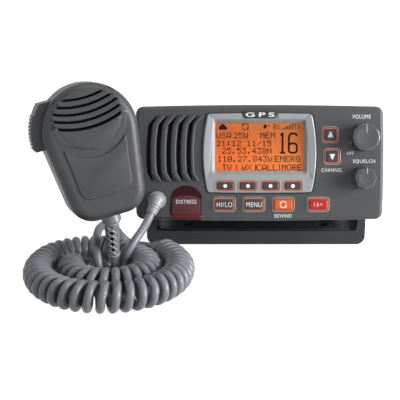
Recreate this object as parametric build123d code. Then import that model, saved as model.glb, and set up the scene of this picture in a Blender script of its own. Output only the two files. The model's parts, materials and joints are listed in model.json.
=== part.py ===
"""Fixed-mount VHF marine radio on a U-shaped bracket, with its hand microphone and curly cord.

Millimetres. +X is to the viewer's right, -Y towards the viewer and +Z up.
The origin is on the underside of the bracket's base, straight below the tilt pivot.
The set is drawn in its own frame (u right, v back, w up, from the pivot) and then leant back.
The microphone is drawn in its own frame (a right, b back, c up, from its middle).
"""
import math
import os

from build123d import *

# ---- Clearances ----
PANEL_GAP = 0.3        # between panels that drop into each other
KEY_GAP = 0.25         # between a key and the rim round it
RUN_GAP = 0.05         # radial, shaft in its bearing
SCREW_GAP = 0.2        # radial, screw in its hole
TURN_GAP = 0.3         # flat faces of pieces that turn past each other

# ---- Bracket ----
BRACKET_W = 153.0
ARM_T = 5.6
BASE_T = 10.0
BASE_FRONT = -30.0
BASE_BACK = 20.0
BRACKET_CORNER_R = 6.0
BRACKET_INNER_R = 3.0
ARM_STRAIGHT_H = 16.0
ARM_TOP_R = 15.0
SCREW_PITCH_X = 95.0
SCREW_PITCH_Y = 21.0
SCREW_ROW_Y = -5.0
SCREW_HOLE_R = 2.6
SCREW_SINK_R = 4.4
SCREW_SINK_D = 1.8

# ---- Tilt pivot and its clamps ----
PIVOT_Z = 52.0
LEAN = 15.0
STUD_R = 2.5
STUD_LEN = 20.0
INSERT_R = 5.0
ARM_HOLE_R = 3.3
WASHER_R = 12.0
WASHER_T = 1.2
CLAMP_R = 12.0
CLAMP_T = 8.4
CLAMP_LOBES = 6
CLAMP_LOBE_R = 2.6

# ---- Front bezel ----
BEZEL_W = 164.0
BEZEL_H = 76.5
BEZEL_BOW_X = 0.7
BEZEL_BOW_Y = 1.2
BEZEL_CORNER_R = 5.0
BEZEL_EDGE_R = 2.4
FACE_V = -60.0
FACE_T = 4.0
BEZEL_BACK_V = -35.0
BEZEL_WALL = 4.2
RIM_WALL = 2.5
FLANGE_T = 3.0
SEAL_T = 1.2
BOSS_U = BEZEL_W / 2 - 6.8
BOSS_W = BEZEL_H / 2 - 7.85
BOSS_R = 3.8
BEZEL_SCREW_R = 1.4

# ---- Chassis ----
CHASSIS_W = 128.0
CHASSIS_H = 56.0
CHASSIS_BACK_V = 46.0
CHASSIS_WALL = 3.0
CHASSIS_EDGE_R = 3.0
RIB_H = 1.6
RIB_EDGE = 12.0
RIB_COUNT = 9
FIN_COUNT = 7
FIN_T = 2.2
FIN_ROOM = 10.3
FIN_DEPTH = 8.0
FIN_H = 44.0

# ---- Main board ----
MAIN_BOARD_W = -15.6
BOARD_ROOM = 3.0
MAIN_BOARD_SIZE = (CHASSIS_W - 2 * CHASSIS_WALL - 2 * BOARD_ROOM, 68.0)
MAIN_BOARD_V = 4.0
POST_U = MAIN_BOARD_SIZE[0] / 2 - 8.0
POST_PLACES = ((-POST_U, -22), (POST_U, -22), (-POST_U, 30), (POST_U, 30))

# ---- Display ----
FRAME_TOP_W = 32.6
FRAME_BOTTOM_W = -19.8
FRAME_HALF = 34.4
FRAME_BOW = 3.1
FRAME_PROUD = 0.8
FRAME_SEAT = 2.2
FRAME_GROOVE = 0.6
TAB_SIZE = (23.6, 3.4)
WINDOW_W = 58.5
WINDOW_H = 31.8
WINDOW_W0 = 10.6
WINDOW_CORNER_R = 0.6
WINDOW_BEVEL = 2.2
LENS_LAP = 1.0
LENS_T = 1.2
LCD_T = 6.4

# ---- Keys ----
SOFT_KEY = (10.0, 4.5)
SOFT_KEY_U = (-22.6, -7.6, 7.2, 22.0)
SOFT_KEY_W = -15.0
LOW_KEY = (11.3, 6.4)
LOW_KEY_W = -27.3
LOW_KEY_U = {"hi_lo_key": -23.1, "menu_key": -3.7, "rewind_key": 15.7, "channel_16_key": 38.7}
CHANNEL_KEY = (7.6, 7.2)
CHANNEL_KEY_AT = {"channel_up_key": (46.5, 18.6), "channel_down_key": (47.8, 4.3)}
KEY_R = 1.0
KEY_PROUD = 1.7
KEY_TRAVEL = 0.8
KEY_RIM = 0.65
RIM_PROUD = 0.9
GUIDE_T = 1.2
SHEET_T = 1.6
BOARD_T = 1.6

# ---- Knobs ----
KNOB_U = BEZEL_W / 2 - 13.5
VOLUME_W = 16.9
SQUELCH_W = -9.5
VOLUME_R = 9.0
SQUELCH_R = 7.35
KNOB_T = 12.0
SHAFT_R = 3.0
BUSH_R = 4.0
CONTROL_SIZE = 12.0

# ---- Distress cover ----
FLAP_U = 33.6 - BEZEL_W / 2
FLAP_W = 19.8
FLAP_TOP_W = -15.1
FLAP_ARCH = 7.0
FLAP_T = 1.6
HINGE_W = -35.6
HINGE_V = -58.6
KNUCKLE_R = 1.7
PIN_R = 0.7
POCKET_WALL = 1.8
POCKET_ROOM = 1.3
DISTRESS_KEY = (11.0, 8.0)
DISTRESS_KEY_W = -25.5
DISTRESS_KEY_PROUD = 0.7

# ---- Loudspeaker ----
SLOT_COUNT = 5
SLOT_PITCH = 6.6
SLOT_WIDTH = 2.5
SPEAKER_U = 23.4 - BEZEL_W / 2
SPEAKER_W = 9.4
SPEAKER_R = 18.4
SPEAKER_RIM_T = 3.0
SPEAKER_DEPTH = 10.0
MAGNET_R = 10.0
MAGNET_T = 2.6
CLOTH_T = 0.4
CLOTH_SIZE = (36.0, 44.4)

# ---- Cord gland on the face ----
GLAND_U = 14.4 - BEZEL_W / 2
GLAND_W = -24.5
GLAND_RING_R = 5.9
GLAND_HOLE_R = 4.4
GLAND_RING_T = 2.4
BOOT_R = 4.5
BOOT_TIP_R = 3.3
BOOT_LEN = 10.0

# ---- Rear fittings ----
SOCKET_U = CHASSIS_W / 2 - 20.0
SOCKET_W = 6.0
SOCKET_R = 7.94
SOCKET_LEN = 14.0
SOCKET_BORE_R = 5.6
SOCKET_PLATE = 25.4
SOCKET_PLATE_T = 2.0
CONTACT_R = 2.8
CONTACT_BORE_R = 2.0
CONTACT_DEPTH = 8.0
INLET_R = 5.0
INLET_BORE_R = 2.6
INLET_U = (24.0 - CHASSIS_W / 2, 10.0 - CHASSIS_W / 2)
INLET_W = -4.0

# ---- Microphone ----
MIC_AT = (-105.3, -100.0, 88.1)
MIC_ROLL = -12.0
MIC_YAW = 18.0
MIC_PITCH = -6.0
MIC_HEAD_R = 29.5
MIC_HEAD_C = 12.5
MIC_FOOT_HALF = 22.2
MIC_FOOT_C = -41.5
MIC_FOOT_R = 15.0
MIC_FRONT_B = -16.0
MIC_BACK_B = 14.5
MIC_PARTING_B = 0.5
MIC_WALL = 2.4
MIC_FRONT_R = 6.0
MIC_BACK_R = 7.0
MIC_SLOT_COUNT = 5
MIC_SLOT_PITCH = 4.5
MIC_SLOT_R = 54.0
MIC_SLOT_WIDTH = 1.5
MIC_SLOT_TOP_C = 33.6
MIC_PANEL_R = 20.5
MIC_PANEL_C = 24.0
TALK_PROUD = 5.0
TALK_TRAVEL = 2.0
TALK_C = (8.5, 36.0)
TALK_HALF_B = 8.0
COLLAR_R = 6.2
COLLAR_C = (-46.5, -42.5)
MIC_NECK_R = 5.0
RELIEF_TOP_R = 4.9
RELIEF_TIP_R = 3.7
RELIEF_SINK = 1.5
MIC_STUD_NECK_R = 3.5
MIC_STUD_HEAD_R = 6.5
MIC_BOSS_A = MIC_FOOT_HALF - 5.2
MIC_BOSS_C = (-24.0, 22.0)
MIC_BOSS_R = 3.0
MIC_SCREW_R = 1.2
MIC_BOARD_B = 4.0
MIC_BOARD_HALF = MIC_BOSS_A - 4.0
MIC_SWITCH_A = (7.8 - MIC_HEAD_R, 1.3 - MIC_BOARD_HALF)
MIC_SWITCH_C = TALK_C[0] + 5.0

# ---- Curly cord ----
CORD_D = 5.5
CURL_D = 20.0
COIL_X = -97.0
COIL_Y = -102.5
COIL_STEP = 30.0
COIL_START = 145.0
COIL_END = 775.0
# How the coil's radius grows with the angle it has turned through (degrees, mm).
COIL_GROWTH = ((145.0, 24.5), (270.0, 24.5), (360.0, 25.0), (415.0, 26.5), (450.0, 34.0),
               (480.0, 41.0), (505.0, 45.2), (540.0, 46.0), (630.0, 46.5), (720.0, 46.0),
               (775.0, 47.2))
# The straight lead from the face's gland down to the coil's inner end.
RADIO_LEAD = ((-73.6, -76.6, 33.0), (-77.2, -83.2, 28.6), (-81.6, -89.6, 24.2), (-85.6, -93.6, 18.4),
              (-88.0, -94.2, 11.6), (-90.2, -91.4, 6.0), (-94.8, -87.6, 3.4), (-100.6, -84.2, 3.4),
              (-106.6, -81.8, 5.6), (-112.0, -83.0, 8.4))
RELIEF_TIP = (-94.2, -97.0, 17.0)
MIC_LEAD_FIRST_RUN = 4.4
# The lead from the microphone, after its first run straight out of the strain relief:
# down and round, up in one loose loop, and over the coil's back to its outer end.
MIC_LEAD = ((-94.2, -96.4, 7.8), (-96.4, -98.8, 4.0), (-99.8, -102.2, 3.8),
            (-102.4, -104.6, 7.4), (-103.4, -104.8, 12.6), (-104.3, -102.4, 18.2), (-105.2, -97.2, 23.8),
            (-105.6, -89.4, 28.4), (-104.6, -80.6, 30.4), (-101.4, -71.4, 29.8), (-98.4, -62.4, 26.6),
            (-96.0, -55.0, 20.4), (-92.6, -50.4, 12.8), (-87.0, -49.4, 7.8), (-80.6, -52.4, 7.6),
            (-74.9, -57.8, 9.4))

# ---- Worked-out places ----
SET_AT = Pos(0, 0, PIVOT_Z) * Rot(-LEAN, 0, 0)
MIC_PLACE = Pos(*MIC_AT) * Rot(0, MIC_ROLL, 0) * Rot(0, 0, MIC_YAW) * Rot(MIC_PITCH, 0, 0)
ARM_OUT_X = BRACKET_W / 2
ARM_IN_X = ARM_OUT_X - ARM_T
INNER_FACE_V = FACE_V + FACE_T
CAVITY_W = BEZEL_W - 2 * BEZEL_WALL
CAVITY_H = BEZEL_H - 2 * BEZEL_WALL - 2 * BEZEL_BOW_Y
LEDGE_V = BEZEL_BACK_V - FLANGE_T - SEAL_T
SEAT_V = FACE_V + FRAME_SEAT
GUIDE_V = INNER_FACE_V
LENS_BACK_V = SEAT_V + LENS_T
BOARD_V = LENS_BACK_V + LCD_T
SHEET_V = BOARD_V - SHEET_T
KEY_BACK_V = SHEET_V - KEY_TRAVEL - TURN_GAP
POCKET_TOP_W = FLAP_TOP_W + PANEL_GAP
POCKET_BACK_V = HINGE_V + KNUCKLE_R + POCKET_ROOM
SPEAKER_FRONT_V = INNER_FACE_V + CLOTH_T
WASHER_IN_U = ARM_IN_X - TURN_GAP - WASHER_T
CHASSIS_HALF = CHASSIS_W / 2
CHASSIS_FLOOR_W = CHASSIS_WALL - CHASSIS_H / 2
FIN_PITCH = (SOCKET_U - SOCKET_PLATE / 2 - FIN_ROOM) / ((FIN_COUNT - 1) / 2)
POCKET_RIGHT_U = FLAP_U + FLAP_W / 2 + PANEL_GAP + POCKET_WALL


def slab(sketch, front, back):
    """A flat outline in u and w, made solid from its front to its back."""
    return extrude(Plane.XZ.offset(-back) * sketch, amount=back - front)


def rod(radius, front, back, u=0.0, w=0.0):
    """A round bar along v."""
    return slab(Pos(u, w) * Circle(radius), front, back)


def cross_bar(radius, x0, x1, y=0.0, z=0.0):
    """A round bar along X."""
    return Pos((x0 + x1) / 2, y, z) * Rot(0, 90, 0) * Cylinder(radius, abs(x1 - x0))


def edges_at(shape, axis, largest):
    """The edges round a shape's lowest or highest face along an axis."""
    return shape.faces().sort_by(axis)[-1 if largest else 0].edges()


def bowed_outline(width, top, bottom, bow_x, bow_y, corner):
    """A rectangle whose four sides bow outwards, with rounded corners."""
    half = width / 2 - bow_x
    high, low = top - bow_y, bottom + bow_y
    middle = (high + low) / 2
    sides = [
        ThreePointArc((-half, high), (0, top), (half, high)),
        ThreePointArc((half, high), (half + bow_x, middle), (half, low)),
        ThreePointArc((half, low), (0, bottom), (-half, low)),
        ThreePointArc((-half, low), (-half - bow_x, middle), (-half, high)),
    ]
    face = make_face(sides)
    return fillet(face.vertices(), corner)


# ---- Bracket and clamps ----
def make_bracket():
    outer_top = PIVOT_Z + ARM_TOP_R
    blank = Pos(0, outer_top / 2) * Rectangle(BRACKET_W, outer_top)
    blank = fillet(blank.vertices().group_by(Axis.Y)[0], BRACKET_CORNER_R)
    inside = Pos(0, BASE_T + outer_top / 2) * Rectangle(2 * ARM_IN_X, outer_top)
    inside = fillet(inside.vertices().group_by(Axis.Y)[0], BRACKET_INNER_R)
    profile = slab(blank - inside, BASE_FRONT, BASE_BACK)
    shoulder = math.sqrt(ARM_TOP_R ** 2 - 3.5 ** 2)
    side = make_face(Polyline((BASE_FRONT, 0), (BASE_FRONT, ARM_STRAIGHT_H), (-shoulder, PIVOT_Z + 3.5),
                              (shoulder, PIVOT_Z + 3.5), (BASE_BACK, ARM_STRAIGHT_H), (BASE_BACK, 0),
                              close=True))
    side += Pos(0, PIVOT_Z) * Circle(ARM_TOP_R)
    bracket = profile & extrude(Plane.YZ.offset(-BRACKET_W) * side, amount=2 * BRACKET_W)
    bracket -= cross_bar(ARM_HOLE_R, -BRACKET_W, BRACKET_W, 0, PIVOT_Z)
    for x in (-SCREW_PITCH_X / 2, SCREW_PITCH_X / 2):
        for y in (SCREW_ROW_Y - SCREW_PITCH_Y / 2, SCREW_ROW_Y + SCREW_PITCH_Y / 2):
            bracket -= Pos(x, y, BASE_T / 2) * Cylinder(SCREW_HOLE_R, BASE_T + 1)
            sink = Cone(SCREW_HOLE_R, SCREW_SINK_R, SCREW_SINK_D)
            bracket -= Pos(x, y, BASE_T - SCREW_SINK_D / 2) * sink
    return bracket


def make_clamp_knob(side):
    inner = ARM_OUT_X + TURN_GAP
    knob = cross_bar(CLAMP_R, side * inner, side * (inner + CLAMP_T))
    knob = fillet(knob.edges().filter_by(GeomType.CIRCLE), 1.2)
    for k in range(CLAMP_LOBES):
        turn = 2 * math.pi * k / CLAMP_LOBES
        y = (CLAMP_R + 1.0) * math.cos(turn)
        w = (CLAMP_R + 1.0) * math.sin(turn)
        knob -= cross_bar(CLAMP_LOBE_R, side * (inner - 1), side * (inner + CLAMP_T + 1), y, w)
    return knob - make_clamp_stud(side)


def make_clamp_stud(side):
    tip = ARM_OUT_X + TURN_GAP + CLAMP_T - 2.5
    return cross_bar(STUD_R, side * (tip - STUD_LEN), side * tip)


def make_pivot_insert(side):
    inner, outer = side * (CHASSIS_HALF - CHASSIS_WALL), side * WASHER_IN_U
    return cross_bar(INSERT_R, inner, outer) - cross_bar(STUD_R + RUN_GAP, inner - side, outer + side)


def make_washer(side):
    ring = cross_bar(WASHER_R, side * WASHER_IN_U, side * (WASHER_IN_U + WASHER_T))
    return ring - cross_bar(INSERT_R + 1, side * (WASHER_IN_U - 1), side * ARM_IN_X)


# ---- Bezel ----
def speaker_slot(shift):
    """One slot shaped like an opening bracket, with its two ends bent to the right."""
    left = [(-9.2, 21.9), (-14.4, 15.9), (-16.0, -0.6), (-15.5, -15.9), (-12.2, -21.5)]
    right = [(u + SLOT_WIDTH, w) for u, w in left[1:4]]
    tip = 0.7
    sides = [
        Line(left[0], left[1]),
        ThreePointArc(left[1], left[2], left[3]),
        Line(left[3], left[4]),
        Line(left[4], (left[4][0] + tip, left[4][1])),
        Line((left[4][0] + tip, left[4][1]), right[2]),
        ThreePointArc(right[2], right[1], right[0]),
        Line(right[0], (left[0][0] + tip, left[0][1])),
        Line((left[0][0] + tip, left[0][1]), left[0]),
    ]
    return Pos(SPEAKER_U + shift, SPEAKER_W) * make_face(sides)


def display_outline(grow=0.0):
    width = 2 * (FRAME_HALF + FRAME_BOW + grow)
    return bowed_outline(width, FRAME_TOP_W + grow, FRAME_BOTTOM_W - grow, FRAME_BOW, 0.4, 2.0 + grow)


def key_places():
    """Each key's name with its width, height and middle."""
    places = {}
    for number, u in enumerate(SOFT_KEY_U, 1):
        places[f"soft_key_{number}"] = (*SOFT_KEY, u, SOFT_KEY_W)
    for name, u in LOW_KEY_U.items():
        places[name] = (*LOW_KEY, u, LOW_KEY_W)
    for name, (u, w) in CHANNEL_KEY_AT.items():
        places[name] = (*CHANNEL_KEY, u, w)
    return places


def key_outline(width, height, u, w, grow=0.0):
    return Pos(u, w) * RectangleRounded(width + 2 * grow, height + 2 * grow, KEY_R + grow)


def rim_holes(extra=0.0):
    grow = KEY_GAP + KEY_RIM + extra
    return [key_outline(*place, grow) for place in key_places().values()]


def pocket_outline():
    """The distress recess: straight sides, an arched top, open at the bezel's lower edge."""
    half = FLAP_W / 2 + PANEL_GAP
    shoulder = POCKET_TOP_W - FLAP_ARCH
    bottom = -BEZEL_H
    sides = [
        Line((-half, bottom), (-half, shoulder)),
        ThreePointArc((-half, shoulder), (0, POCKET_TOP_W), (half, shoulder)),
        Line((half, shoulder), (half, bottom)),
        Line((half, bottom), (-half, bottom)),
    ]
    return Pos(FLAP_U, 0) * make_face(sides)


def make_bezel():
    outline = bowed_outline(BEZEL_W, BEZEL_H / 2, -BEZEL_H / 2, BEZEL_BOW_X, BEZEL_BOW_Y, BEZEL_CORNER_R)
    bezel = slab(outline, FACE_V, BEZEL_BACK_V)
    bezel = fillet(edges_at(bezel, Axis.Y, False), BEZEL_EDGE_R)
    bezel -= slab(RectangleRounded(CAVITY_W, CAVITY_H, 2), INNER_FACE_V, BEZEL_BACK_V)
    rear_w, rear_h = BEZEL_W - 2 * RIM_WALL, BEZEL_H - 2 * RIM_WALL - 2 * BEZEL_BOW_Y
    bezel -= slab(RectangleRounded(rear_w, rear_h, 2.5), LEDGE_V, BEZEL_BACK_V)
    for u in (-BOSS_U, BOSS_U):
        for w in (-BOSS_W, BOSS_W):
            bezel += rod(BOSS_R, INNER_FACE_V, LEDGE_V, u, w)
            bezel -= rod(BEZEL_SCREW_R + SCREW_GAP / 2, INNER_FACE_V + 4, LEDGE_V, u, w)
    block_w = FLAP_W + 2 * PANEL_GAP + 2 * POCKET_WALL
    block_h = POCKET_TOP_W + CAVITY_H / 2 + 1
    block = Pos(FLAP_U, POCKET_TOP_W + 1 - block_h / 2) * Rectangle(block_w, block_h)
    bezel += slab(block, INNER_FACE_V, POCKET_BACK_V + POCKET_WALL)
    bezel -= slab(pocket_outline(), FACE_V - 1, POCKET_BACK_V)
    key_w, key_h = DISTRESS_KEY
    bezel -= slab(key_outline(key_w, key_h, FLAP_U, DISTRESS_KEY_W, KEY_GAP), FACE_V, 0)
    pin_half = FLAP_W / 2 + PANEL_GAP + 1.0
    bezel -= cross_bar(PIN_R, FLAP_U - pin_half, FLAP_U + pin_half, HINGE_V, HINGE_W)
    bezel -= slab(display_outline(FRAME_GROOVE), FACE_V - 1, SEAT_V)
    lens = Pos(0, WINDOW_W0) * Rectangle(WINDOW_W + 2 * LENS_LAP + 2 * PANEL_GAP,
                                         WINDOW_H + 2 * LENS_LAP + 2 * PANEL_GAP)
    bezel -= slab(lens, FACE_V, INNER_FACE_V + 1)
    for hole in rim_holes(PANEL_GAP):
        bezel -= slab(hole, FACE_V - 1, INNER_FACE_V + 1)
    for k in range(SLOT_COUNT):
        bezel -= slab(speaker_slot(k * SLOT_PITCH), FACE_V - 1, INNER_FACE_V + 1)
    for w in (VOLUME_W, SQUELCH_W):
        bezel -= rod(BUSH_R + PANEL_GAP, FACE_V - 1, INNER_FACE_V + 1, KNOB_U, w)
    bezel -= rod(GLAND_HOLE_R + PANEL_GAP, FACE_V - 1, INNER_FACE_V + 1, GLAND_U, GLAND_W)
    return bezel


def make_bezel_screw(u, w):
    shank = rod(BEZEL_SCREW_R, INNER_FACE_V + 8, BEZEL_BACK_V, u, w)
    return shank + rod(2.6, BEZEL_BACK_V, BEZEL_BACK_V + 1.8, u, w)


def flange_outline():
    width = BEZEL_W - 2 * RIM_WALL - 2 * PANEL_GAP
    height = BEZEL_H - 2 * RIM_WALL - 2 * BEZEL_BOW_Y - 2 * PANEL_GAP
    return RectangleRounded(width, height, 2.0)


def make_seal():
    inner = RectangleRounded(CAVITY_W + 2 * PANEL_GAP, CAVITY_H + 2 * PANEL_GAP, 2)
    return slab(flange_outline() - inner, LEDGE_V, LEDGE_V + SEAL_T)


# ---- Display ----
def window(grow=0.0):
    width, height = WINDOW_W + 2 * grow, WINDOW_H + 2 * grow
    return Pos(0, WINDOW_W0) * RectangleRounded(width, height, WINDOW_CORNER_R + grow)


def make_display_frame():
    front = FACE_V - FRAME_PROUD
    frame = slab(display_outline(), front, SEAT_V)
    frame = fillet(edges_at(frame, Axis.Y, False), 0.8)
    inner_edge = Plane.XZ.offset(-SEAT_V + 0.6) * window()
    outer_edge = Plane.XZ.offset(-front) * window(WINDOW_BEVEL)
    frame -= loft([inner_edge, outer_edge])
    frame -= slab(window(), front - 1, SEAT_V + 1)
    for number in range(len(SOFT_KEY_U)):
        place = key_places()[f"soft_key_{number + 1}"]
        frame -= slab(key_outline(*place, KEY_GAP + KEY_RIM + PANEL_GAP), front - 1, SEAT_V + 1)
    tab = Pos(0, FRAME_TOP_W - TAB_SIZE[1] + 5) * Rectangle(TAB_SIZE[0], 10)
    frame -= slab(tab, front - 1, front + 0.5)
    return frame


def make_lens():
    return slab(window(LENS_LAP), SEAT_V, LENS_BACK_V)


def make_lcd():
    return slab(window(LENS_LAP - 0.2), LENS_BACK_V, BOARD_V)


# ---- Keys, light guide, keypad sheet and front board ----
def block(left, right, low, high):
    """A rectangle given by its four sides."""
    return Pos((left + right) / 2, (low + high) / 2) * Rectangle(right - left, high - low)


def electronics_outline():
    """The front board's outline: all but the loudspeaker's corner and the gland's."""
    end = KNOB_U + 1.5
    return block(GLAND_U + 6.6, end, -32.0, -12.0) + block(SPEAKER_U + 20.6, end, -14.0, 32.0)


def make_key(width, height, u, w):
    cap = slab(key_outline(width, height, u, w), FACE_V - KEY_PROUD, KEY_BACK_V)
    return fillet(edges_at(cap, Axis.Y, False), 0.5)


def make_light_guide():
    left = POCKET_RIGHT_U + 3 * PANEL_GAP
    outline = block(left, 52.5, -32.4, -11.2) + block(40.0, 54.0, -12.0, 24.0)
    guide = slab(outline, GUIDE_V, GUIDE_V + GUIDE_T)
    for place in key_places().values():
        guide += slab(key_outline(*place, KEY_GAP + KEY_RIM), FACE_V - RIM_PROUD, GUIDE_V + GUIDE_T)
    for place in key_places().values():
        guide -= slab(key_outline(*place, KEY_GAP), FACE_V - 2, GUIDE_V + GUIDE_T + 1)
    return guide


def make_keypad_sheet():
    outline = block(FLAP_U - 15.6, 52.0, -32.2, -12.2) + block(40.0, 54.0, -14.0, 26.0)
    return slab(outline, SHEET_V, BOARD_V)


def make_front_board():
    return slab(electronics_outline(), BOARD_V, BOARD_V + BOARD_T)


# ---- Distress cover ----
def make_flap():
    """A curved lid with an arched top and a hinge barrel along its foot."""
    half = FLAP_W / 2
    shoulder = FLAP_TOP_W - FLAP_ARCH
    foot = HINGE_W
    sides = [
        Line((-half, foot), (-half, shoulder)),
        ThreePointArc((-half, shoulder), (0, FLAP_TOP_W), (half, shoulder)),
        Line((half, shoulder), (half, foot)),
        Line((half, foot), (-half, foot)),
    ]
    front = HINGE_V - KNUCKLE_R
    flap = slab(Pos(FLAP_U, 0) * make_face(sides), front, front + FLAP_T)
    flap += cross_bar(KNUCKLE_R, FLAP_U - half, FLAP_U + half, HINGE_V, HINGE_W)
    flap -= cross_bar(PIN_R + RUN_GAP, FLAP_U - half - 1, FLAP_U + half + 1, HINGE_V, HINGE_W)
    return flap


def make_flap_pin():
    half = FLAP_W / 2 + PANEL_GAP + 1.0
    return cross_bar(PIN_R, FLAP_U - half, FLAP_U + half, HINGE_V, HINGE_W)


def make_distress_key():
    width, height = DISTRESS_KEY
    front = POCKET_BACK_V - DISTRESS_KEY_PROUD
    cap = slab(key_outline(width, height, FLAP_U, DISTRESS_KEY_W), front, KEY_BACK_V)
    return fillet(edges_at(cap, Axis.Y, False), 0.4)


# ---- Knobs and their controls ----
def make_volume_knob():
    front, back = FACE_V - KNOB_T - 0.6, FACE_V - 0.6
    knob = rod(VOLUME_R, front, back, KNOB_U, VOLUME_W)
    knob = fillet(edges_at(knob, Axis.Y, False), 1.2)
    flutes = 12
    for k in range(flutes):
        turn = 2 * math.pi * (k + 0.5) / flutes
        u = KNOB_U + (VOLUME_R + 2.6) * math.cos(turn)
        w = VOLUME_W + (VOLUME_R + 2.6) * math.sin(turn)
        knob -= rod(3.1, front - 1, back - 1.6, u, w)
    return knob - make_shaft(VOLUME_W)


def make_squelch_knob():
    front, back = FACE_V - KNOB_T + 0.4, FACE_V - 0.6
    knob = slab(Pos(KNOB_U, SQUELCH_W) * RegularPolygon(SQUELCH_R, 8), front, back - 2)
    knob = chamfer(edges_at(knob, Axis.Y, False), 0.8)
    knob += rod(SQUELCH_R, back - 2, back, KNOB_U, SQUELCH_W)
    return knob - make_shaft(SQUELCH_W)


def make_shaft(w):
    return rod(SHAFT_R, FACE_V - KNOB_T + 3.0, INNER_FACE_V + 3.5, KNOB_U, w)


def make_control(w):
    """A rotary control: square body on the board with a round bush through the bezel."""
    size = CONTROL_SIZE
    body = slab(Pos(KNOB_U, w) * RectangleRounded(size, size, 1), INNER_FACE_V, BOARD_V)
    body += rod(BUSH_R, FACE_V - 0.2, INNER_FACE_V, KNOB_U, w)
    return body - rod(SHAFT_R + RUN_GAP, FACE_V - 1, INNER_FACE_V + 3.5 + RUN_GAP, KNOB_U, w)


# ---- Loudspeaker ----
def make_grille_cloth():
    outline = Pos(SPEAKER_U, SPEAKER_W) * RectangleRounded(*CLOTH_SIZE, 2)
    outline -= Pos(-BOSS_U, BOSS_W) * Circle(BOSS_R + PANEL_GAP)
    return slab(outline, INNER_FACE_V, SPEAKER_FRONT_V)


def make_speaker_frame():
    back = SPEAKER_FRONT_V + SPEAKER_RIM_T + SPEAKER_DEPTH
    frame = rod(SPEAKER_R, SPEAKER_FRONT_V, SPEAKER_FRONT_V + SPEAKER_RIM_T, SPEAKER_U, SPEAKER_W)
    basket = Cone(SPEAKER_R - 1, MAGNET_R, SPEAKER_DEPTH)
    middle_v = SPEAKER_FRONT_V + SPEAKER_RIM_T + SPEAKER_DEPTH / 2
    frame += Pos(SPEAKER_U, middle_v, SPEAKER_W) * Rot(-90, 0, 0) * basket
    hollow = Cone(SPEAKER_R - 2.4, 3.0, SPEAKER_RIM_T + SPEAKER_DEPTH - 2)
    hollow_v = SPEAKER_FRONT_V + (SPEAKER_RIM_T + SPEAKER_DEPTH - 2) / 2
    frame -= Pos(SPEAKER_U, hollow_v, SPEAKER_W) * Rot(-90, 0, 0) * hollow
    return frame + rod(MAGNET_R, back, back + MAGNET_T, SPEAKER_U, SPEAKER_W)


def make_speaker_cone():
    depth = SPEAKER_RIM_T + SPEAKER_DEPTH - 2
    cone_r, wall = SPEAKER_R - 2.4 - PANEL_GAP, 0.6
    outer = Cone(cone_r, 3.0 - PANEL_GAP, depth - 0.6)
    inner = Cone(cone_r - wall - 0.4, 2.0, depth - 1.4)
    front = SPEAKER_FRONT_V + 0.1
    cone = Pos(SPEAKER_U, front + (depth - 0.6) / 2, SPEAKER_W) * Rot(-90, 0, 0) * outer
    return cone - Pos(SPEAKER_U, front + (depth - 1.4) / 2, SPEAKER_W) * Rot(-90, 0, 0) * inner


# ---- Cord gland ----
def gland_neck():
    return Vector(GLAND_U, FACE_V - GLAND_RING_T, GLAND_W)


def gland_direction():
    """The boot's direction in the set's frame: at the first point of the lead that leaves it."""
    aim = (SET_AT.inverse() * Pos(*RADIO_LEAD[0])).position
    return (aim - gland_neck()).normalized()


def make_gland():
    ring_front = FACE_V - GLAND_RING_T
    gland = rod(GLAND_RING_R, ring_front, FACE_V, GLAND_U, GLAND_W)
    gland = fillet(edges_at(gland, Axis.Y, False), 0.9)
    gland += rod(GLAND_HOLE_R, FACE_V, INNER_FACE_V + 3, GLAND_U, GLAND_W)
    neck, direction = gland_neck(), gland_direction()
    gland += Pos(*neck) * Sphere(BOOT_R)
    middle = Plane(origin=neck + direction * (BOOT_LEN / 2), z_dir=direction)
    return gland + middle * Cone(BOOT_R, BOOT_TIP_R, BOOT_LEN)


def gland_tip():
    """The middle of the boot's end face, in the row's frame."""
    return (SET_AT * Pos(*(gland_neck() + gland_direction() * BOOT_LEN))).position


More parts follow.
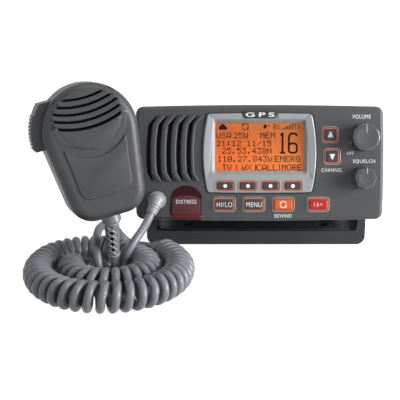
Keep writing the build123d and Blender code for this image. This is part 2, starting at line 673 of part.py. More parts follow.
# ---- Chassis and what it holds ----
def make_chassis():
    depth = CHASSIS_BACK_V - BEZEL_BACK_V
    box = Pos(0, BEZEL_BACK_V + depth / 2, 0) * Box(CHASSIS_W, depth, CHASSIS_H)
    box = fillet(box.edges().filter_by(Axis.Y), CHASSIS_EDGE_R)
    box = fillet(edges_at(box, Axis.Y, True), 1.5)
    chassis = box + slab(flange_outline(), BEZEL_BACK_V - FLANGE_T, BEZEL_BACK_V)
    for side in (-1, 1):
        chassis += cross_bar(CLAMP_R + 1, side * (CHASSIS_HALF - 1), side * WASHER_IN_U)
    for k in range(RIB_COUNT):
        u = (k / (RIB_COUNT - 1) - 0.5) * (CHASSIS_W - 2 * RIB_EDGE)
        rib = Box(2.4, depth - 8, RIB_H)
        chassis += Pos(u, BEZEL_BACK_V + depth / 2, CHASSIS_H / 2 + RIB_H / 2) * rib
    for k in range(FIN_COUNT):
        u = (k - (FIN_COUNT - 1) / 2) * FIN_PITCH
        chassis += Pos(u, CHASSIS_BACK_V + FIN_DEPTH / 2, 2) * Box(FIN_T, FIN_DEPTH, FIN_H)
    inner_w, inner_h = CHASSIS_W - 2 * CHASSIS_WALL, CHASSIS_H - 2 * CHASSIS_WALL
    inner = Rectangle(inner_w, inner_h)
    chassis -= slab(inner, BEZEL_BACK_V - FLANGE_T, CHASSIS_BACK_V - CHASSIS_WALL)
    chassis -= cross_bar(INSERT_R, -WASHER_IN_U, WASHER_IN_U)
    for u, v in POST_PLACES:
        post = Cylinder(3, MAIN_BOARD_W - CHASSIS_FLOOR_W)
        chassis += Pos(u, v, (CHASSIS_FLOOR_W + MAIN_BOARD_W) / 2) * post
    for u in (-BOSS_U, BOSS_U):
        for w in (-BOSS_W, BOSS_W):
            chassis -= rod(BEZEL_SCREW_R + SCREW_GAP, LEDGE_V, BEZEL_BACK_V, u, w)
    for u in INLET_U:
        chassis -= rod(INLET_R - 1, CHASSIS_BACK_V - CHASSIS_WALL, CHASSIS_BACK_V, u, INLET_W)
    chassis -= rod(SOCKET_BORE_R, CHASSIS_BACK_V - CHASSIS_WALL, CHASSIS_BACK_V, SOCKET_U, SOCKET_W)
    return chassis


def make_main_board():
    return Pos(0, MAIN_BOARD_V, MAIN_BOARD_W + BOARD_T / 2) * Box(*MAIN_BOARD_SIZE, BOARD_T)


def make_shield_can():
    can = Pos(-22, -4, MAIN_BOARD_W + BOARD_T + 4) * Box(44, 36, 8)
    hollow = Pos(-22, -4, MAIN_BOARD_W + BOARD_T + 3.7) * Box(43.2, 35.2, 7.4)
    return can - hollow


def make_power_module():
    back = CHASSIS_BACK_V - CHASSIS_WALL
    return slab(Pos(4, -6) * RectangleRounded(56, 14, 1), back - 9, back)


def make_gps_antenna():
    base = slab(Pos(0, 18) * RectangleRounded(25, 25, 1), BOARD_V + BOARD_T, BOARD_V + BOARD_T + 1.6)
    return base + slab(Pos(0, 18) * RectangleRounded(18, 18, 0.6), BOARD_V + BOARD_T, BOARD_V + BOARD_T + 5)


def make_antenna_socket():
    plate_back = CHASSIS_BACK_V + SOCKET_PLATE_T
    end = plate_back + SOCKET_LEN
    plate = Pos(SOCKET_U, SOCKET_W) * RectangleRounded(SOCKET_PLATE, SOCKET_PLATE, 2)
    socket = slab(plate, CHASSIS_BACK_V, plate_back)
    socket += rod(SOCKET_R, plate_back, end, SOCKET_U, SOCKET_W)
    socket -= rod(SOCKET_BORE_R, plate_back + 2, end + 1, SOCKET_U, SOCKET_W)
    contact = rod(CONTACT_R, plate_back, end - 1, SOCKET_U, SOCKET_W)
    contact -= rod(CONTACT_BORE_R, end - 1 - CONTACT_DEPTH, end, SOCKET_U, SOCKET_W)
    return socket + contact


def make_inlet(u):
    inlet = rod(INLET_R, CHASSIS_BACK_V, CHASSIS_BACK_V + 6, u, INLET_W)
    inlet = fillet(edges_at(inlet, Axis.Y, True), 1.2)
    inlet += rod(INLET_R - 1 - 0.1, CHASSIS_BACK_V - CHASSIS_WALL, CHASSIS_BACK_V, u, INLET_W)
    return inlet - rod(INLET_BORE_R, CHASSIS_BACK_V - CHASSIS_WALL - 1, CHASSIS_BACK_V + 7, u, INLET_W)


# ---- Microphone ----
def mic_outline(grow=0.0):
    """A round head whose sides leave it at a tangent and narrow to a foot with large corners."""
    head_r = MIC_HEAD_R + grow
    foot_half, foot_c = MIC_FOOT_HALF + grow, MIC_FOOT_C - grow
    drop = MIC_HEAD_C - foot_c
    turn = math.acos(head_r / math.hypot(foot_half, drop)) - math.atan2(drop, foot_half)
    side_a, side_c = head_r * math.cos(turn), MIC_HEAD_C + head_r * math.sin(turn)
    sides = [
        Line((-side_a, side_c), (-foot_half, foot_c)),
        Line((-foot_half, foot_c), (foot_half, foot_c)),
        Line((foot_half, foot_c), (side_a, side_c)),
        ThreePointArc((side_a, side_c), (0, MIC_HEAD_C + head_r), (-side_a, side_c)),
    ]
    outline = make_face(sides)
    return fillet(outline.vertices().group_by(Axis.Y)[0], MIC_FOOT_R + grow)


def talk_band(outer, inner, half_b, low, high):
    """What lies between two offsets of the outline, on the left side, over a height and a depth."""
    band = slab(mic_outline(outer) - mic_outline(inner), -half_b, half_b)
    middle = (low + high) / 2
    return band & Pos(-MIC_HEAD_R, 0, middle) * Box(2 * MIC_HEAD_R - 20, 2 * half_b, high - low)


def make_talk_button():
    button = talk_band(TALK_PROUD, -MIC_WALL - 0.6, TALK_HALF_B, *TALK_C)
    return button


def talk_pocket():
    low, high = TALK_C
    gap = PANEL_GAP
    return talk_band(TALK_PROUD + 3, -MIC_WALL - 0.8, TALK_HALF_B + gap, low - gap, high + gap)


def mic_cavity(front, back):
    return slab(mic_outline(-MIC_WALL), front, back)


def mic_back_cavity():
    cavity = mic_cavity(MIC_PARTING_B, MIC_BACK_B - MIC_WALL)
    return fillet(edges_at(cavity, Axis.Y, True), MIC_BACK_R - MIC_WALL)


def mic_smile(k):
    """One louvre slot: part of a ring that sags in the middle, inside the round head panel."""
    centre_c = MIC_SLOT_TOP_C + MIC_SLOT_R - MIC_SLOT_PITCH * k
    half = MIC_SLOT_WIDTH / 2
    ring = Pos(0, centre_c) * (Circle(MIC_SLOT_R + half) - Circle(MIC_SLOT_R - half))
    panel = Pos(0, MIC_PANEL_C) * Circle(MIC_PANEL_R)
    return ring & panel & Pos(0, MIC_HEAD_C) * Circle(MIC_HEAD_R - MIC_FRONT_R + 2.0)


def make_mic_front():
    shell = slab(mic_outline(), MIC_FRONT_B, MIC_PARTING_B)
    shell = fillet(edges_at(shell, Axis.Y, False), MIC_FRONT_R)
    shell -= mic_cavity(MIC_FRONT_B + MIC_WALL, MIC_PARTING_B)
    for a in (-MIC_BOSS_A, MIC_BOSS_A):
        for c in MIC_BOSS_C:
            shell += rod(MIC_BOSS_R, MIC_FRONT_B + MIC_WALL, MIC_PARTING_B, a, c)
            shell -= rod(MIC_SCREW_R + SCREW_GAP / 2, MIC_FRONT_B + MIC_WALL + 4, MIC_PARTING_B, a, c)
    for k in range(MIC_SLOT_COUNT):
        shell -= slab(mic_smile(k), MIC_FRONT_B - 1, MIC_FRONT_B + MIC_WALL + 1)
    return shell - talk_pocket() - mic_collar_hole()


def make_mic_back():
    shell = slab(mic_outline(), MIC_PARTING_B, MIC_BACK_B)
    shell = fillet(edges_at(shell, Axis.Y, True), MIC_BACK_R)
    shell -= mic_back_cavity()
    for a in (-MIC_BOSS_A, MIC_BOSS_A):
        for c in MIC_BOSS_C:
            shell -= rod(MIC_SCREW_R + SCREW_GAP, MIC_PARTING_B, MIC_BACK_B, a, c)
    for a in (-8.0, 8.0):
        for c in (-26.0, 24.0):
            shell += rod(2.2, MIC_BOARD_B + BOARD_T, MIC_BACK_B - MIC_WALL, a, c)
    return shell - talk_pocket() - mic_collar_hole()


def mic_collar_hole():
    low, high = COLLAR_C
    return Pos(0, 0, (low + high) / 2 + 3) * Cylinder(MIC_NECK_R + PANEL_GAP, high - low + 10)


def make_mic_board():
    outline = Pos(0, -1) * RectangleRounded(2 * MIC_BOARD_HALF, 58, 2)
    return slab(outline, MIC_BOARD_B, MIC_BOARD_B + BOARD_T)


def make_mic_capsule():
    return rod(4.9, MIC_BOARD_B - 5.0, MIC_BOARD_B, 0, MIC_HEAD_C)


def make_mic_switch():
    left, right = MIC_SWITCH_A
    body = Pos((left + right) / 2, MIC_BOARD_B - 3.0, MIC_SWITCH_C) * Box(right - left, 6.0, 9.0)
    return body + Pos(left - 0.7, MIC_BOARD_B - 3.0, MIC_SWITCH_C) * Box(1.4, 3.0, 4.0)


def make_mic_screw(a, c):
    head_back = MIC_BACK_B + 0.6
    shank = rod(MIC_SCREW_R, MIC_FRONT_B + MIC_WALL + 6, MIC_BACK_B, a, c)
    return shank + rod(2.2, MIC_BACK_B, head_back, a, c)


def make_mic_stud():
    stud = rod(MIC_STUD_NECK_R, MIC_BACK_B, MIC_BACK_B + 3.2, 0, 6)
    head = rod(MIC_STUD_HEAD_R, MIC_BACK_B + 3.2, MIC_BACK_B + 6.0, 0, 6)
    return stud + head


def relief_line():
    """The sleeve's upper end and the way from it to the tip."""
    top = (MIC_PLACE * Pos(0, 0, COLLAR_C[0] + RELIEF_SINK)).position
    return top, Vector(*RELIEF_TIP) - top


def make_strain_relief():
    """A collar in the foot of the microphone with a tapered sleeve that hangs from it."""
    low, high = COLLAR_C
    collar = Pos(0, 0, (low + MIC_FOOT_C) / 2 - 0.1) * Cylinder(COLLAR_R, MIC_FOOT_C - low - 0.2)
    neck_top = high + 3
    neck = Pos(0, 0, (low + neck_top) / 2) * Cylinder(MIC_NECK_R, neck_top - low)
    relief = MIC_PLACE * (collar + neck)
    top, way = relief_line()
    sleeve = Plane(origin=top + way / 2, z_dir=way) * Cone(RELIEF_TOP_R, RELIEF_TIP_R, way.length)
    return relief + sleeve


# ---- Cord ----
def coil_radius(angle):
    """The coil's radius, between the two nearest stated angles."""
    for (a0, r0), (a1, r1) in zip(COIL_GROWTH, COIL_GROWTH[1:]):
        if angle <= a1:
            return r0 + (r1 - r0) * (angle - a0) / (a1 - a0)
    return COIL_GROWTH[-1][1]


def coil_route():
    steps = round((COIL_END - COIL_START) / COIL_STEP)
    points = []
    for k in range(steps + 1):
        angle = COIL_START + k * (COIL_END - COIL_START) / steps
        radius, turn = coil_radius(angle), math.radians(angle)
        points.append((COIL_X + radius * math.cos(turn), COIL_Y + radius * math.sin(turn), CURL_D / 2))
    return points


def cord_tube(name, route, diameter):
    """A round tube along straight runs joined by the largest tangent arcs that fit."""
    points = [Vector(*point) for point in route]
    radii = []
    for before, here, after in zip(points, points[1:], points[2:]):
        turn = (here - before).get_angle(after - here)
        shorter = min((here - before).length, (after - here).length)
        radii.append(0.45 * shorter / math.tan(math.radians(turn / 2)))
    path = FilletPolyline(*points, radius=radii)
    way = points[1] - points[0]
    section = Plane(origin=points[0], z_dir=way) * Circle(diameter / 2)
    tube = sweep(section, path=path)
    expected = math.pi * (diameter / 2) ** 2 * path.length
    print(name, "length", round(path.length, 1), "least radius", round(min(radii), 1),
          "volume ratio", round(tube.volume / expected, 4))
    return tube


def cord_nodes():
    coil = coil_route()
    radio_lead = [tuple(gland_tip()), *RADIO_LEAD, coil[0]]
    tip, along = Vector(*RELIEF_TIP), relief_line()[1].normalized()
    first_run = [tip + along * TURN_GAP, tip + along * MIC_LEAD_FIRST_RUN]
    mic_lead = [*(tuple(point) for point in first_run), *MIC_LEAD, coil[-1]]
    return {
        "cord_lead_radio": cord_tube("cord_lead_radio", radio_lead, CORD_D),
        "curly_cord": cord_tube("curly_cord", coil, CURL_D),
        "cord_lead_mic": cord_tube("cord_lead_mic", mic_lead, CORD_D),
    }


# ---- The whole assembly ----
def both_sides(make):
    return Compound(children=[make(-1), make(1)])


def set_nodes():
    """Everything that leans with the set, in the set's own frame."""
    screws = [make_bezel_screw(u, w) for u in (-BOSS_U, BOSS_U) for w in (-BOSS_W, BOSS_W)]
    nodes = {
        "rear_chassis": make_chassis(),
        "front_bezel": make_bezel(),
        "bezel_seal": make_seal(),
        "bezel_screws": Compound(children=screws),
        "display_frame": make_display_frame(),
        "display_lens": make_lens(),
        "lcd_module": make_lcd(),
        "key_light_guide": make_light_guide(),
        "keypad_sheet": make_keypad_sheet(),
        "front_circuit_board": make_front_board(),
        "distress_cover": make_flap(),
        "distress_hinge_pin": make_flap_pin(),
        "distress_key": make_distress_key(),
        "volume_knob": make_volume_knob(),
        "volume_shaft": make_shaft(VOLUME_W),
        "volume_control": make_control(VOLUME_W),
        "squelch_knob": make_squelch_knob(),
        "squelch_shaft": make_shaft(SQUELCH_W),
        "squelch_control": make_control(SQUELCH_W),
        "speaker_cloth": make_grille_cloth(),
        "speaker_frame": make_speaker_frame(),
        "speaker_cone": make_speaker_cone(),
        "cord_gland": make_gland(),
        "main_circuit_board": make_main_board(),
        "shield_can": make_shield_can(),
        "power_module": make_power_module(),
        "gps_antenna": make_gps_antenna(),
        "antenna_socket": make_antenna_socket(),
        "lead_inlets": Compound(children=[make_inlet(u) for u in INLET_U]),
        "pivot_inserts": both_sides(make_pivot_insert),
        "friction_washers": both_sides(make_washer),
        "clamp_knob_left": make_clamp_knob(-1),
        "clamp_knob_right": make_clamp_knob(1),
        "clamp_stud_left": make_clamp_stud(-1),
        "clamp_stud_right": make_clamp_stud(1),
    }
    for name, place in key_places().items():
        nodes[name] = make_key(*place)
    return nodes


def mic_nodes():
    """The microphone's pieces, in its own frame."""
    places = [(a, c) for a in (-MIC_BOSS_A, MIC_BOSS_A) for c in MIC_BOSS_C]
    return {
        "mic_front_shell": make_mic_front(),
        "mic_back_shell": make_mic_back(),
        "mic_talk_button": make_talk_button(),
        "mic_circuit_board": make_mic_board(),
        "mic_capsule": make_mic_capsule(),
        "mic_talk_switch": make_mic_switch(),
        "mic_screws": Compound(children=[make_mic_screw(a, c) for a, c in places]),
        "mic_hang_stud": make_mic_stud(),
    }


def main():
    os.makedirs("parts", exist_ok=True)
    nodes = {"mounting_bracket": make_bracket()}
    nodes.update({name: SET_AT * shape for name, shape in set_nodes().items()})
    nodes.update({name: MIC_PLACE * shape for name, shape in mic_nodes().items()})
    nodes["mic_strain_relief"] = make_strain_relief()
    nodes.update(cord_nodes())
    for name, shape in nodes.items():
        export_step(shape, f"parts/{name}.step")
    print(len(nodes), "nodes")


main()
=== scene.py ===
"""Models the trim, lettering, cords and finishes of a fixed-mount marine radio on its bracket.

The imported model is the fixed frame. New pieces are drawn in millimetres in the frame of the part
that carries them: the set's (u right, v back, w up, from the tilt pivot), the microphone's
(a right, b back, c up, from its middle), or the row's own (x right, y back, z up).
"""

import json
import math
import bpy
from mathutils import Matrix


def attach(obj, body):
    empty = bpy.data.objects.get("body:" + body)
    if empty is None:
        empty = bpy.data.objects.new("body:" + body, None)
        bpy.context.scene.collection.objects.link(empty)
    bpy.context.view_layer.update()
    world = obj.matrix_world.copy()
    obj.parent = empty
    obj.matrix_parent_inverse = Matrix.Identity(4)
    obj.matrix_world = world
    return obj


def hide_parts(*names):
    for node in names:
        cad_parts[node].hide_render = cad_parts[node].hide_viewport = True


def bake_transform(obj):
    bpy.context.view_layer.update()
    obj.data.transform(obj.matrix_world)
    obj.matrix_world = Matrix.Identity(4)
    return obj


bl_info = {
    "name": "Marine Radio Trim",
    "version": (1, 0, 0),
    "blender": (4, 5, 0),
    "location": "View3D > Sidebar > Radio",
    "description": "Models the trim, lettering, cords and finishes of a fixed-mount marine radio",
    "category": "Object",
}

import bpy
from mathutils import Matrix, Vector

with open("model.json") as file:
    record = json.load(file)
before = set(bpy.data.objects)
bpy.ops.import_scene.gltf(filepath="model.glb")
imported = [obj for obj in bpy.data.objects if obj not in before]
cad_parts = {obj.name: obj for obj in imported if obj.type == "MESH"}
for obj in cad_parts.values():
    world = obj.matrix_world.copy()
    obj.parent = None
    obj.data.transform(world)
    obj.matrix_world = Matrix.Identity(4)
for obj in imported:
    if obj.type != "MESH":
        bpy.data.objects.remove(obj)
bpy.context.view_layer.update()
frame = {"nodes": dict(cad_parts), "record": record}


def rotation(degrees, axis):
    return Matrix.Rotation(math.radians(degrees), 4, axis)


# ---- Frames ----
MM = 0.001
PIVOT_Z = 52
SET_LEAN = -15
MIC_AT = (-105.3 * MM, -100 * MM, 88.1 * MM)
MIC_ROLL = -12
MIC_YAW = 18
MIC_PITCH = -6
ROW = Matrix.Identity(4)
SET = Matrix.Translation((0, 0, PIVOT_Z * MM)) @ rotation(SET_LEAN, "X")
MIC = (Matrix.Translation(MIC_AT) @ rotation(MIC_ROLL, "Y") @ rotation(MIC_YAW, "Z")
       @ rotation(MIC_PITCH, "X"))
# Turns a plate that is drawn facing the front so that it lies flat.
LAID_FLAT = Matrix(((1, 0, 0, 0), (0, 0, 1, 0), (0, 1, 0, 0), (0, 0, 0, 1)))

# ---- Sizes of the set's face ----
# How far forward the face, the display's surround, the keys' tops and the display lie.
FACE_V = -60.0
SURROUND_V = -60.8
KEY_V = -61.7
LCD_V = -56.6
# Key middles (u, w) and the outer size of the glowing rim round each.
SOFT_KEYS = {"soft_key_1": (-22.6, -15.0), "soft_key_2": (-7.6, -15.0), "soft_key_3": (7.2, -15.0),
             "soft_key_4": (22.0, -15.0)}
LOW_KEYS = {"hi_lo_key": (-23.1, -27.3), "menu_key": (-3.7, -27.3), "rewind_key": (15.7, -27.3),
            "channel_16_key": (38.7, -27.3)}
CHANNEL_KEYS = {"channel_up_key": (46.5, 18.6), "channel_down_key": (47.8, 4.3)}
SOFT_RIM = (11.8, 6.3)
LOW_RIM = (13.1, 8.2)
CHANNEL_RIM = (9.4, 9.0)
RECESS_GAP = 1.9
# The left edge of the loudspeaker's first slot, from its foot upwards.
SPEAKER_EDGE = ((-70.8, -12.1), (-74.1, -6.5), (-74.5, 0.0), (-74.62, 6.0), (-74.5, 12.5), (-74.0, 19.0),
                (-73.0, 25.3), (-67.8, 31.3))
SLOT_W = 2.6
SLOT_PITCH = 6.6
RIB_W = 3.9
LAST_RIB_W = 2.4
# The display surround's left half: the side strip and the one above the window.
SURROUND_LEFT = ((-33.6, 32.0), (-35.5, 22.0), (-36.6, 11.0), (-36.8, 3.0), (-36.3, -5.0), (-35.5, -10.0),
                 (-32.9, -5.9), (-32.6, 0.0), (-32.0, 11.0), (-31.0, 21.0), (-30.1, 29.0))
SURROUND_TOP = ((-33.4, 32.3), (-30.0, 29.2), (-12.2, 29.2), (-12.2, 32.7))
TAB = ((-9.9, 34.2), (-11.4, 32.9), (-11.4, 32.2), (-9.7, 29.2), (9.9, 29.2), (11.7, 32.2), (11.7, 32.9),
       (10.2, 34.2))
# Middles of the marks above the soft keys, and of the splits between the display's lowest words.
TICKS = (-22.1, -6.9, 8.0, 22.9)
SPLITS = (-15.0, -2.4, 13.4)
# The display's signal bars: how many, the first one's place, height and step to the next.
SIGNAL = (8, 14.6, 1.04, 0.6, 0.44)
# The display's cloud: the middle and radius of its three round parts.
CLOUD = ((-24.2, 24.1, 1.6), (-25.6, 23.5, 1.1), (-22.6, 23.3, 1.2))
# The cord gland's middle and how far forward its front lies.
GLAND = (-67.6, -24.5)
GLAND_V = -62.4
LID_V = -60.3
LID_ARCH = ((-57.9, -23.4), (-54.8, -22.1), (-51.6, -21.4), (-48.4, -21.2), (-45.2, -21.5), (-42.0, -22.3),
            (-38.9, -23.7))
LID_FOOT_W = -34.2
# Knob: pointer's two corners; cap's radius, front, back, middle, sides and turn; its rim and dip.
KNOBS = {
    "volume": (((68.3, -73.0, 19.6), (68.85, -72.5, 24.9)),
               (6.9, -72.9, -72.4, 68.5, 16.9, 48), (0.5, 0.18)),
    "squelch": (((68.9, -71.95, -6.6), (69.4, -71.4, -3.4)),
                (5.2, -71.85, -71.4, 68.5, -9.5, 8, math.pi / 8), (0.45, 0.15)),
}

# ---- Sizes of the microphone ----
MIC_FRONT_B = -16.0
# The round head's middle and cap, and the round grille's middle.
HEAD_C = 12.5
CAP_R = 26.4
GRILLE_C = 24.0
GRILLE_R = 20.5
LOUVRES = 4
LOUVRE_R = 54.0
LOUVRE_TOP_C = 33.6
LOUVRE_PITCH = 4.5
COLLAR_R = 25.2
# The talk button's ribs: their distance from the head's middle, number, first angle and step.
TALK_R = 34.2
TALK_RIBS = 10
TALK_FROM = 184.0
TALK_STEP = 3.67
# The strain relief's two ends in the row's frame, and the part of its length that is ribbed.
RELIEF_TOP = Vector((-94.57, -104.47, 44.63))
RELIEF_TIP = Vector((-94.2, -97.0, 17.0))
RELIEF_FROM = 0.12
RELIEF_RUN = 0.76

# ---- Sizes of the bracket ----
# The base rim's width, depth, corners and middle, and how far out the clamp knobs' caps lie.
BASE_RIM = (138, 45.5, 5, 0, -5)
CLAMP_CAP_X = 85.4

# ---- Cord routes, in millimetres in the row's frame ----
RADIO_LEAD = ((-71.27, -72.72, 37.46), (-73.6, -76.6, 33.0), (-77.2, -83.2, 28.6), (-81.6, -89.6, 24.2),
              (-85.6, -93.6, 18.4), (-88.0, -94.2, 11.6), (-90.2, -91.4, 6.0), (-94.8, -87.6, 3.4),
              (-100.6, -84.2, 3.4), (-106.6, -81.8, 5.6), (-112.0, -83.0, 8.4), (-117.07, -88.45, 10.0))
MIC_LEAD = ((-94.196, -96.922, 16.71), (-94.143, -95.851, 12.753), (-94.2, -96.4, 7.8), (-96.4, -98.8, 4.0),
            (-99.8, -102.2, 3.8), (-102.4, -104.6, 7.4), (-103.4, -104.8, 12.6), (-104.3, -102.4, 18.2),
            (-105.2, -97.2, 23.8), (-105.6, -89.4, 28.4), (-104.6, -80.6, 30.4), (-101.4, -71.4, 29.8),
            (-98.4, -62.4, 26.6), (-96.0, -55.0, 20.4), (-92.6, -50.4, 12.8), (-87.0, -49.4, 7.8),
            (-80.6, -52.4, 7.6), (-74.9, -57.8, 9.4), (-69.93, -63.84, 10.0))
COIL_MIDDLE = (-97.0, -102.5, 10.0)
# The coil's first and last angle and the step between its points, in degrees.
COIL_SPAN = (145, 775, 30)
# How the coil's radius grows with the angle it has turned through.
COIL_GROWTH = ((145, 24.5), (270, 24.5), (360, 25.0), (415, 26.5), (450, 34.0), (480, 41.0), (505, 45.2),
               (540, 46.0), (630, 46.5), (720, 46.0), (775, 47.2))
CURL_PARTS = 24
# Metres: where the curls begin to spread, how far that takes, and the run over which an end straightens.
SPREAD_FROM_Y = -0.118
SPREAD_RUN = 0.03
SPREAD = 0.26
CURL_EASE = 0.014

# ---- Lettering ----
# Dot letters, two hexadecimal digits per column, lowest bit at the top.
DOT_COLUMNS = 5
DOT_ROWS = 7
DOTS = {
    "0": "3e5149453e", "1": "00427f4000", "2": "4261514946", "3": "2141454b31", "4": "1814127f10",
    "5": "2745454539", "7": "0171090503", "8": "3649494936", ":": "0036360000", ".": "0060600000",
    "/": "2010080402", "A": "7e1111117e", "C": "3e41414122", "E": "7f49494941", "G": "3e4149497a",
    "L": "7f40404040", "M": "7f020c027f", "N": "7f0408107f", "O": "3e4141413e", "R": "7f09192946",
    "S": "4649494931", "T": "01017f0101", "U": "3f4040403f", "W": "3f4038403f", "X": "6314081463",
    " ": "0000000000",
}
# Rows on the display: words, left, lower and upper edge, and the width of one letter with its space.
LCD_ROWS = (
    ("USA", -28.2, 16.2, 20.0, 3.35), ("25W", -16.9, 16.2, 20.0, 3.35), ("MEM", 0.5, 16.2, 20.0, 3.5),
    ("21:12 11/15", -28.2, 11.0, 14.8, 3.34), ("25.53.438N", -24.8, 6.0, 9.9, 3.34),
    ("110.27.843W", -27.6, 0.7, 4.6, 3.34), ("EMERG", 10.2, 0.7, 4.6, 3.5), ("TW", -24.6, -5.0, -1.0, 3.4),
    ("WX", -11.6, -5.0, -1.0, 3.6), ("CALL", -1.8, -5.0, -1.0, 3.6), ("MORE", 15.0, -5.0, -1.0, 3.4),
    ("RX", 9.4, 22.2, 25.4, 2.3), ("TX", 22.8, 22.2, 25.4, 2.3),
)
# Words on keys and face: left, right, lower and upper edge.
KEY_WORDS = (
    ("hi_lo", "HI/LO", (-28.2, -18.0, -29.0, -25.8), "legend_white", 0.0),
    ("menu", "MENU", (-8.8, 1.4, -29.0, -25.8), "legend_white", 0.0),
    ("channel_16", "16+", (35.9, 41.6, -28.7, -25.9), "legend_pink", 0.02),
)
FACE_WORDS = (
    ("VOLUME", (60.9, 73.1, 29.2, 31.8)), ("OFF", (57.6, 62.1, 5.4, 7.5)),
    ("SQUELCH", (61.7, 76.2, -0.4, 2.3)), ("CHANNEL", (40.8, 54.6, -5.9, -3.4)),
    ("REWIND", (10.1, 21.3, -36.2, -33.8)),
)
# The big channel number: a one with a foot, and a six's hook above its bowl.
NUMBER_ONE = ((13.6, 6.1), (17.2, 6.1), (17.2, 7.3), (16.1, 7.3), (16.1, 20.1), (15.0, 20.1), (13.7, 18.8),
              (13.7, 17.7), (14.7, 18.3), (14.7, 7.3), (13.6, 7.3))
SIX_HOOK = ((18.9, 10.5), (18.9, 17.0), (19.5, 18.9), (21.1, 20.1), (23.9, 20.1), (25.4, 18.7),
            (25.4, 17.8), (24.1, 17.8), (23.5, 18.8), (21.5, 18.8), (20.6, 18.0), (20.25, 16.6),
            (20.25, 10.5))

# ---- Stage, in metres ----
CAMERA_AT = (-0.0392196, -0.723695, 0.258197)
CAMERA_TILT = 72
SENSOR_MM = 36
LENS_MM = 94.4955
FLOOR_SIZE = 8
FLOOR_TONE = 0.45
FLOOR_GLOW = 0.96
ROOM_LIGHT = 0.14
# Lamp: place, point it faces, size and watts.
LAMPS = {
    "key_lamp": ((0.60, -0.34, 0.21), (-0.06, -0.08, 0.07), 0.36, 8.0),
    "fill_lamp": ((-0.85, -0.55, 0.75), (0, -0.03, 0.05), 0.5, 0.8),
    "low_lamp": ((-0.62, -0.95, 0.14), (0.03, -0.02, 0.02), 0.3, 0.3),
    "top_lamp": ((0.1, -0.25, 1.0), (0, -0.03, 0.05), 0.4, 2.3),
}

# ---- Looks ----
# Finish: screen colour, metallic, roughness, pattern, grain per metre, bump, mottle.
FINISHES = {
    "bracket_plastic": ((48, 50, 52), 0.0, 0.48, "moulded", 1500, 0.30, 0.10),
    "chassis_casting": ((66, 68, 71), 0.0, 0.60, "cast", 1100, 0.45, 0.14),
    "bezel_plastic": ((59, 60, 63), 0.0, 0.52, "moulded", 2600, 0.22, 0.06),
    "seal_rubber": ((30, 30, 32), 0.0, 0.80, "moulded", 1400, 0.25, 0.10),
    "screw_steel": ((165, 168, 172), 1.0, 0.34, "brushed", 1600, 0.10, 0.10),
    "display_silver": ((151, 154, 156), 0.35, 0.38, "brushed", 2400, 0.06, 0.05),
    "lens_clear": ((245, 245, 245), 0.0, 0.04, "clear", 400, 0.01, 0.02),
    "lcd_orange": ((226, 108, 34), 0.0, 0.45, "lcd", 1800, 0.02, 0.10),
    "guide_copper": ((204, 120, 92), 0.25, 0.30, "moulded", 2600, 0.10, 0.12),
    "sheet_rubber": ((70, 68, 68), 0.0, 0.75, "moulded", 1800, 0.15, 0.10),
    "board_green": ((30, 92, 58), 0.0, 0.42, "traces", 500, 0.12, 0.20),
    "key_dark": ((46, 42, 42), 0.0, 0.50, "moulded", 3200, 0.16, 0.08),
    "key_orange": ((204, 88, 28), 0.0, 0.46, "moulded", 3200, 0.12, 0.05),
    "key_red": ((164, 20, 18), 0.0, 0.44, "moulded", 3200, 0.12, 0.05),
    "lid_red": ((50, 18, 23), 0.0, 0.22, "moulded", 900, 0.04, 0.20),
    "knob_plastic": ((60, 62, 64), 0.0, 0.24, "moulded", 2600, 0.18, 0.07),
    "shaft_steel": ((170, 172, 176), 1.0, 0.28, "brushed", 2200, 0.08, 0.08),
    "control_plastic": ((40, 42, 46), 0.0, 0.5, "moulded", 1800, 0.15, 0.10),
    "grille_cloth": ((14, 14, 15), 0.0, 0.9, "weave", 2400, 0.5, 0.30),
    "speaker_steel": ((120, 122, 126), 1.0, 0.45, "brushed", 900, 0.15, 0.15),
    "cone_paper": ((34, 32, 30), 0.0, 0.9, "paper", 1500, 0.35, 0.20),
    "gland_rubber": ((152, 154, 157), 0.0, 0.34, "moulded", 2200, 0.12, 0.08),
    "tin_plate": ((186, 188, 190), 1.0, 0.36, "brushed", 700, 0.08, 0.10),
    "patch_ceramic": ((205, 198, 178), 0.0, 0.5, "paper", 1200, 0.10, 0.08),
    "socket_chrome": ((210, 212, 216), 1.0, 0.12, "brushed", 2600, 0.03, 0.05),
    "insert_brass": ((186, 150, 82), 1.0, 0.32, "brushed", 1800, 0.08, 0.12),
    "clamp_rubber": ((36, 37, 40), 0.0, 0.68, "moulded", 1500, 0.35, 0.12),
    "mic_plastic": ((54, 55, 58), 0.0, 0.46, "moulded", 3000, 0.10, 0.05),
    "talk_rubber": ((60, 61, 64), 0.0, 0.50, "moulded", 2200, 0.22, 0.10),
    "cord_rubber": ((116, 119, 124), 0.0, 0.32, "moulded", 2600, 0.12, 0.10),
    "legend_white": ((232, 233, 234), 0.0, 0.5, "moulded", 3600, 0.06, 0.05),
    "pointer_grey": ((176, 182, 184), 0.0, 0.5, "moulded", 3600, 0.06, 0.05),
    "legend_pink": ((240, 170, 160), 0.0, 0.5, "moulded", 3600, 0.06, 0.05),
    # A pale ring round each key's recess: a painted highlight where light catches the recess's bevel.
    "recess_edge_painted_highlight": ((172, 160, 156), 0.3, 0.30, "moulded", 3000, 0.06, 0.08),
    "lcd_ink": ((24, 12, 8), 0.0, 0.6, "moulded", 3600, 0.02, 0.10),
    "tab_black": ((34, 35, 37), 0.0, 0.4, "moulded", 3000, 0.10, 0.06),
    # Lighter copies of the red cover's plastic: painted light on the cover's face, and a painted highlight
    # on its lower lip.
    "lid_face_painted_light": ((86, 52, 56), 0.0, 0.20, "moulded", 900, 0.03, 0.16),
    "lid_foot_painted_highlight": ((112, 30, 38), 0.0, 0.25, "moulded", 900, 0.03, 0.16),
    # Black for painted shade: behind the microphone's louvres and in the strain relief's pockets.
    "painted_shade_black": ((12, 12, 13), 0.0, 0.85, "moulded", 1500, 0.10, 0.10),
}
